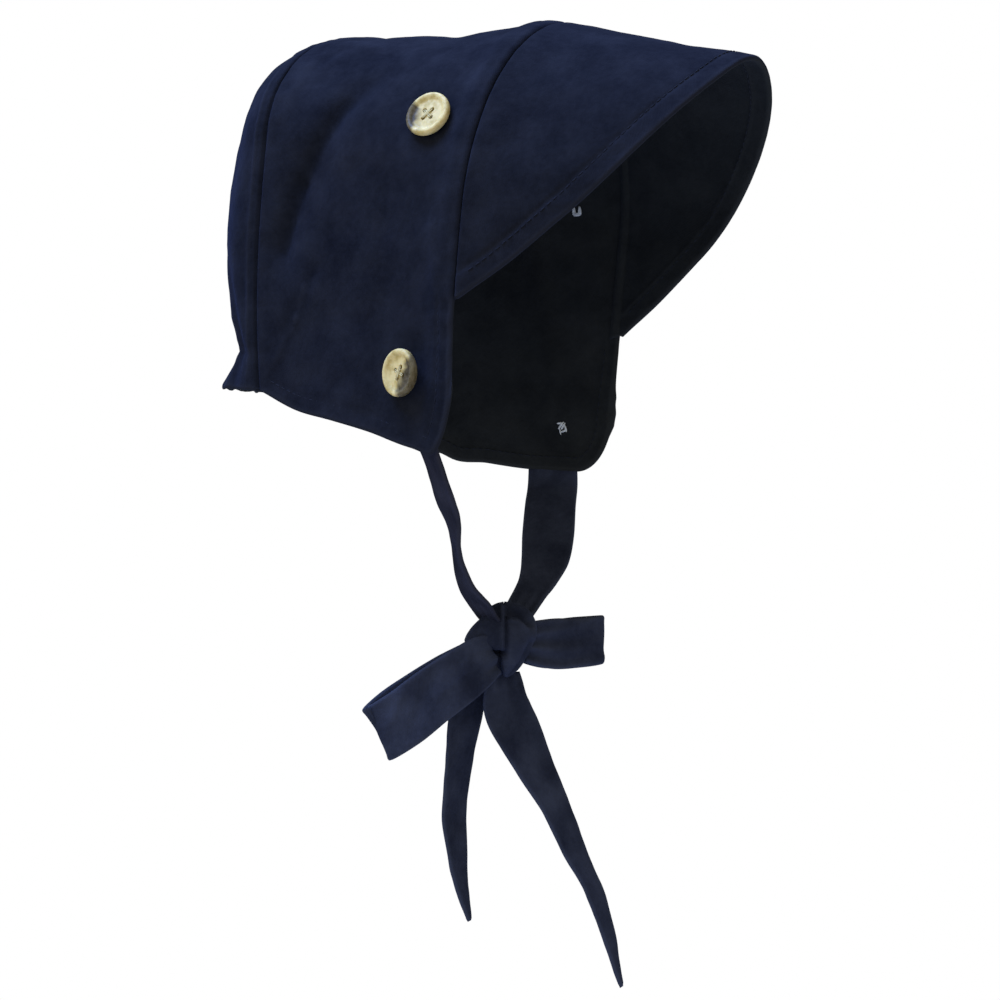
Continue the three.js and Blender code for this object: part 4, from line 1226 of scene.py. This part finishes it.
def strap(name, rows, steps, seed, pleats=1.5, open_end=False, folds=()):
    """A sewn band along its middle line. It stops inside the knot, and pleats where it narrows. Folds are
    lines in millimetres along it and across it, with a width and a height."""
    outside = [k / 400 for k in range(401) if knot_reach(strap_place(rows, k / 400)[0]) > KNOT_HOLD]
    start, end = outside[0], outside[-1]
    stops = [start + (end - start) * k / steps for k in range(steps + 1)]
    middles = [strap_place(rows, t)[0] for t in stops]
    length = sum((b - a).length for a, b in zip(middles, middles[1:]))

    def place(t, q):
        middle, along, wide, out, half = strap_faces(rows, t)
        drawn = max(1 - 2 * half / TIE_WIDTH, 0.0)
        run = (t - start) * length
        tight = math.exp(-max(knot_reach(middle) - 1, 0.0) / PLEAT_RUN)
        pleat = math.cos(PLEAT_TURNS * math.pi * (q + 0.12 * seed))
        pleat *= pleats * min(drawn * PLEAT_GROWTH, 1.0) * tight
        point = middle + wide * (q * half)
        creased = 0.0
        for run1, off1, run2, off2, width, height in folds:
            off, along_fold = near_line(run, q * half, [(run1, off1), (run2, off2)])
            creased += height * bell(off, width) * (1 - 0.6 * along_fold)
        relief = pleat + swells(point, [(0.35, 16, seed), (0.12, 6, seed + 1)]) + creased
        near = min((1 - abs(q)) * half, (end - t) * length if open_end else 99.0)
        share, inset, spread = EDGE_SEAM
        thick = TIE_WALL / 2 * (1 + share * bell(near - inset, spread))
        thick *= max(1 - rounding(near, TIE_EDGE), LEAST_EDGE)
        # Paler along the edges, with painted highlights on the crests of pleats and folds and painted shade
        # in their troughs.
        wear_and_light = 0.8 * (1 - smooth_step(near, 0.3, 1.5)) + 0.3 * pleat + 0.22 * creased
        wear_and_light += swells(point, [(0.55, 11, seed + 2)])
        return point + out * (relief + thick), point + out * (relief - thick), wear_and_light

    band = cloth_wall(name, stops, TIE_COLUMNS, place, (length, TIE_WIDTH))
    return band, length


right_tie, tie_length = strap("right_tie_band", RIGHT_TIE, 90, 31, pleats=0.5)
# The right tie wears the darker copy of the ties' cotton: painted shade.
finish_cloth(right_tie, painted_shade_tie_cotton, painted_shade_tie_cotton, "right_tie")
left_tie, tie_length = strap("left_tie_band", LEFT_TIE, 80, 33)
finish_cloth(left_tie, lit_tie_cotton, lit_tie_cotton, "left_tie")

# Bow: a loop of each tie, folded back on itself and pulled through the knot, so that it is pleated at its
# root and square where it turns back. Its tables say how far along the bow, deep and high from the knot's
# middle, then width, direction and rise.
RIGHT_LOOP = [
    (-3, -4.5, -4.6, 14, 118, 70), (-11, -6.0, -6.8, 19, 118, 68), (-21, -6.5, -12.8, 21.5, 118, 65),
    (-34, -6.0, -21.0, 22.5, 118, 65), (-45, -4.0, -29.2, 23, 118, 65), (-53.5, 0.0, -34.8, 23, 118, 65),
    (-46, 3.0, -29.6, 23, 118, 65), (-34, 4.6, -21.8, 21, 118, 65), (-21, 4.5, -13.2, 18, 118, 68),
    (-11, 3.5, -6.0, 13, 118, 72), (-3, 2.5, -1, 9, 118, 75),
]
LEFT_LOOP = [
    (3, -3, 0, 12, 0, 88), (11, -4, -1.1, 17.5, 0, 88), (21, -4, -1.9, 20.5, 0, 88),
    (33, -3.2, -2.0, 20, 0, 88), (41, -2, -1.5, 20, 0, 88), (45, 0.5, -1.2, 20, 0, 88),
    (41, 3, -1.5, 20, 0, 88), (32, 4, -2.0, 20, 0, 88), (20, 4, -2.9, 19, 0, 88),
    (10, 3, -2.5, 14, 0, 88), (3, 2, 0, 9, 0, 88),
]


def from_knot(rows):
    """A loop's stations, moved from the knot's own directions to where the knot is."""
    return [(*(KNOT_MIDDLE + KNOT_ALONG * along + KNOT_DEEP * deep + Vector((0, 0, high))), *rest)
            for along, deep, high, *rest in rows]


# Creases that spread from the knot over each loop's face: a line's two ends along and across the band, then
# its width and height.
RIGHT_CREASES = [
    (0, 2, 20, 5.5, 1.3, 1.1), (0, -1, 26, -1, 1.5, -1.2), (0, -4, 18, -7, 1.3, 1.0),
    (24, 7, 40, -6, 2.4, 0.9), (36, 8, 46, 0, 1.8, -0.8), (12, 4, 22, -5, 1.6, -0.7),
]
LEFT_CREASES = [
    (0, 3, 20, 8.5, 1.4, 0.9), (0, 0.5, 25, 3, 1.7, -0.8), (0, -2, 17, -2.5, 1.4, 0.8),
    (0, -5, 21, -8, 1.6, -0.8), (16, -8, 34, -7, 1.5, 0.9), (26, 6, 30, -3, 2.0, -0.6),
]
for name, rows, seed, node, creases in (
    ("right_loop_band", RIGHT_LOOP, 35, "right_loop", RIGHT_CREASES),
    ("left_loop_band", LEFT_LOOP, 37, "left_loop", LEFT_CREASES),
):
    loop, loop_length = strap(name, from_knot(rows), 120, seed, pleats=0.9, folds=creases)
    finish_cloth(loop, lit_tie_cotton, lit_tie_cotton, node)

# Tails: the free ends of the two ties below the knot, cut to a slant so that they run out to a point.
RIGHT_TAIL = [
    (0.0, -9.2, -249, 7, -12, 0), (-1.9, -4.8, -257, 12, -20, 0), (-3.7, -2.2, -268, 18, -20, 0),
    (-6.3, -1.0, -280, 19, -11, 0), (-8.3, 0.4, -298.4, 18, -5, 0), (-9.1, 1.2, -310.8, 17, -5, 0),
    (-8.8, 0.4, -322.9, 14.5, -5, 0), (-8.4, -0.5, -334.1, 11.5, -5, 0), (-7.4, -2.3, -344.5, 7.5, -5, 0),
    (-6.5, -4.1, -354.6, 2.4, -5, 0),
]
LEFT_TAIL = [
    (0.6, -16.0, -248, 11, -22, 0), (0.2, -16.8, -258, 16, -34, 0), (-0.2, -17.8, -268, 20.5, -37, 0),
    (3.1, -22.1, -279.9, 21, -32, 0), (7.1, -29.6, -296.8, 19, -20, 0), (10.3, -35.6, -310.8, 16.5, -12, 0),
    (13.5, -41.6, -326.1, 15.5, -8, 0), (16.1, -46.6, -338.1, 14, -2, 0), (18.0, -50.2, -347.8, 12, -5, 0),
    (20.3, -54.4, -364.2, 8, -8, 0), (22.2, -58.0, -381.1, 2.4, -8, 0),
]
for name, rows, seed, node in (
    ("right_tail_band", RIGHT_TAIL, 39, "right_tail"),
    ("left_tail_band", LEFT_TAIL, 41, "left_tail"),
):
    tail, tail_length = strap(name, rows, 100, seed, pleats=1.2, open_end=True)
    finish_cloth(tail, lit_tie_cotton, lit_tie_cotton, node)
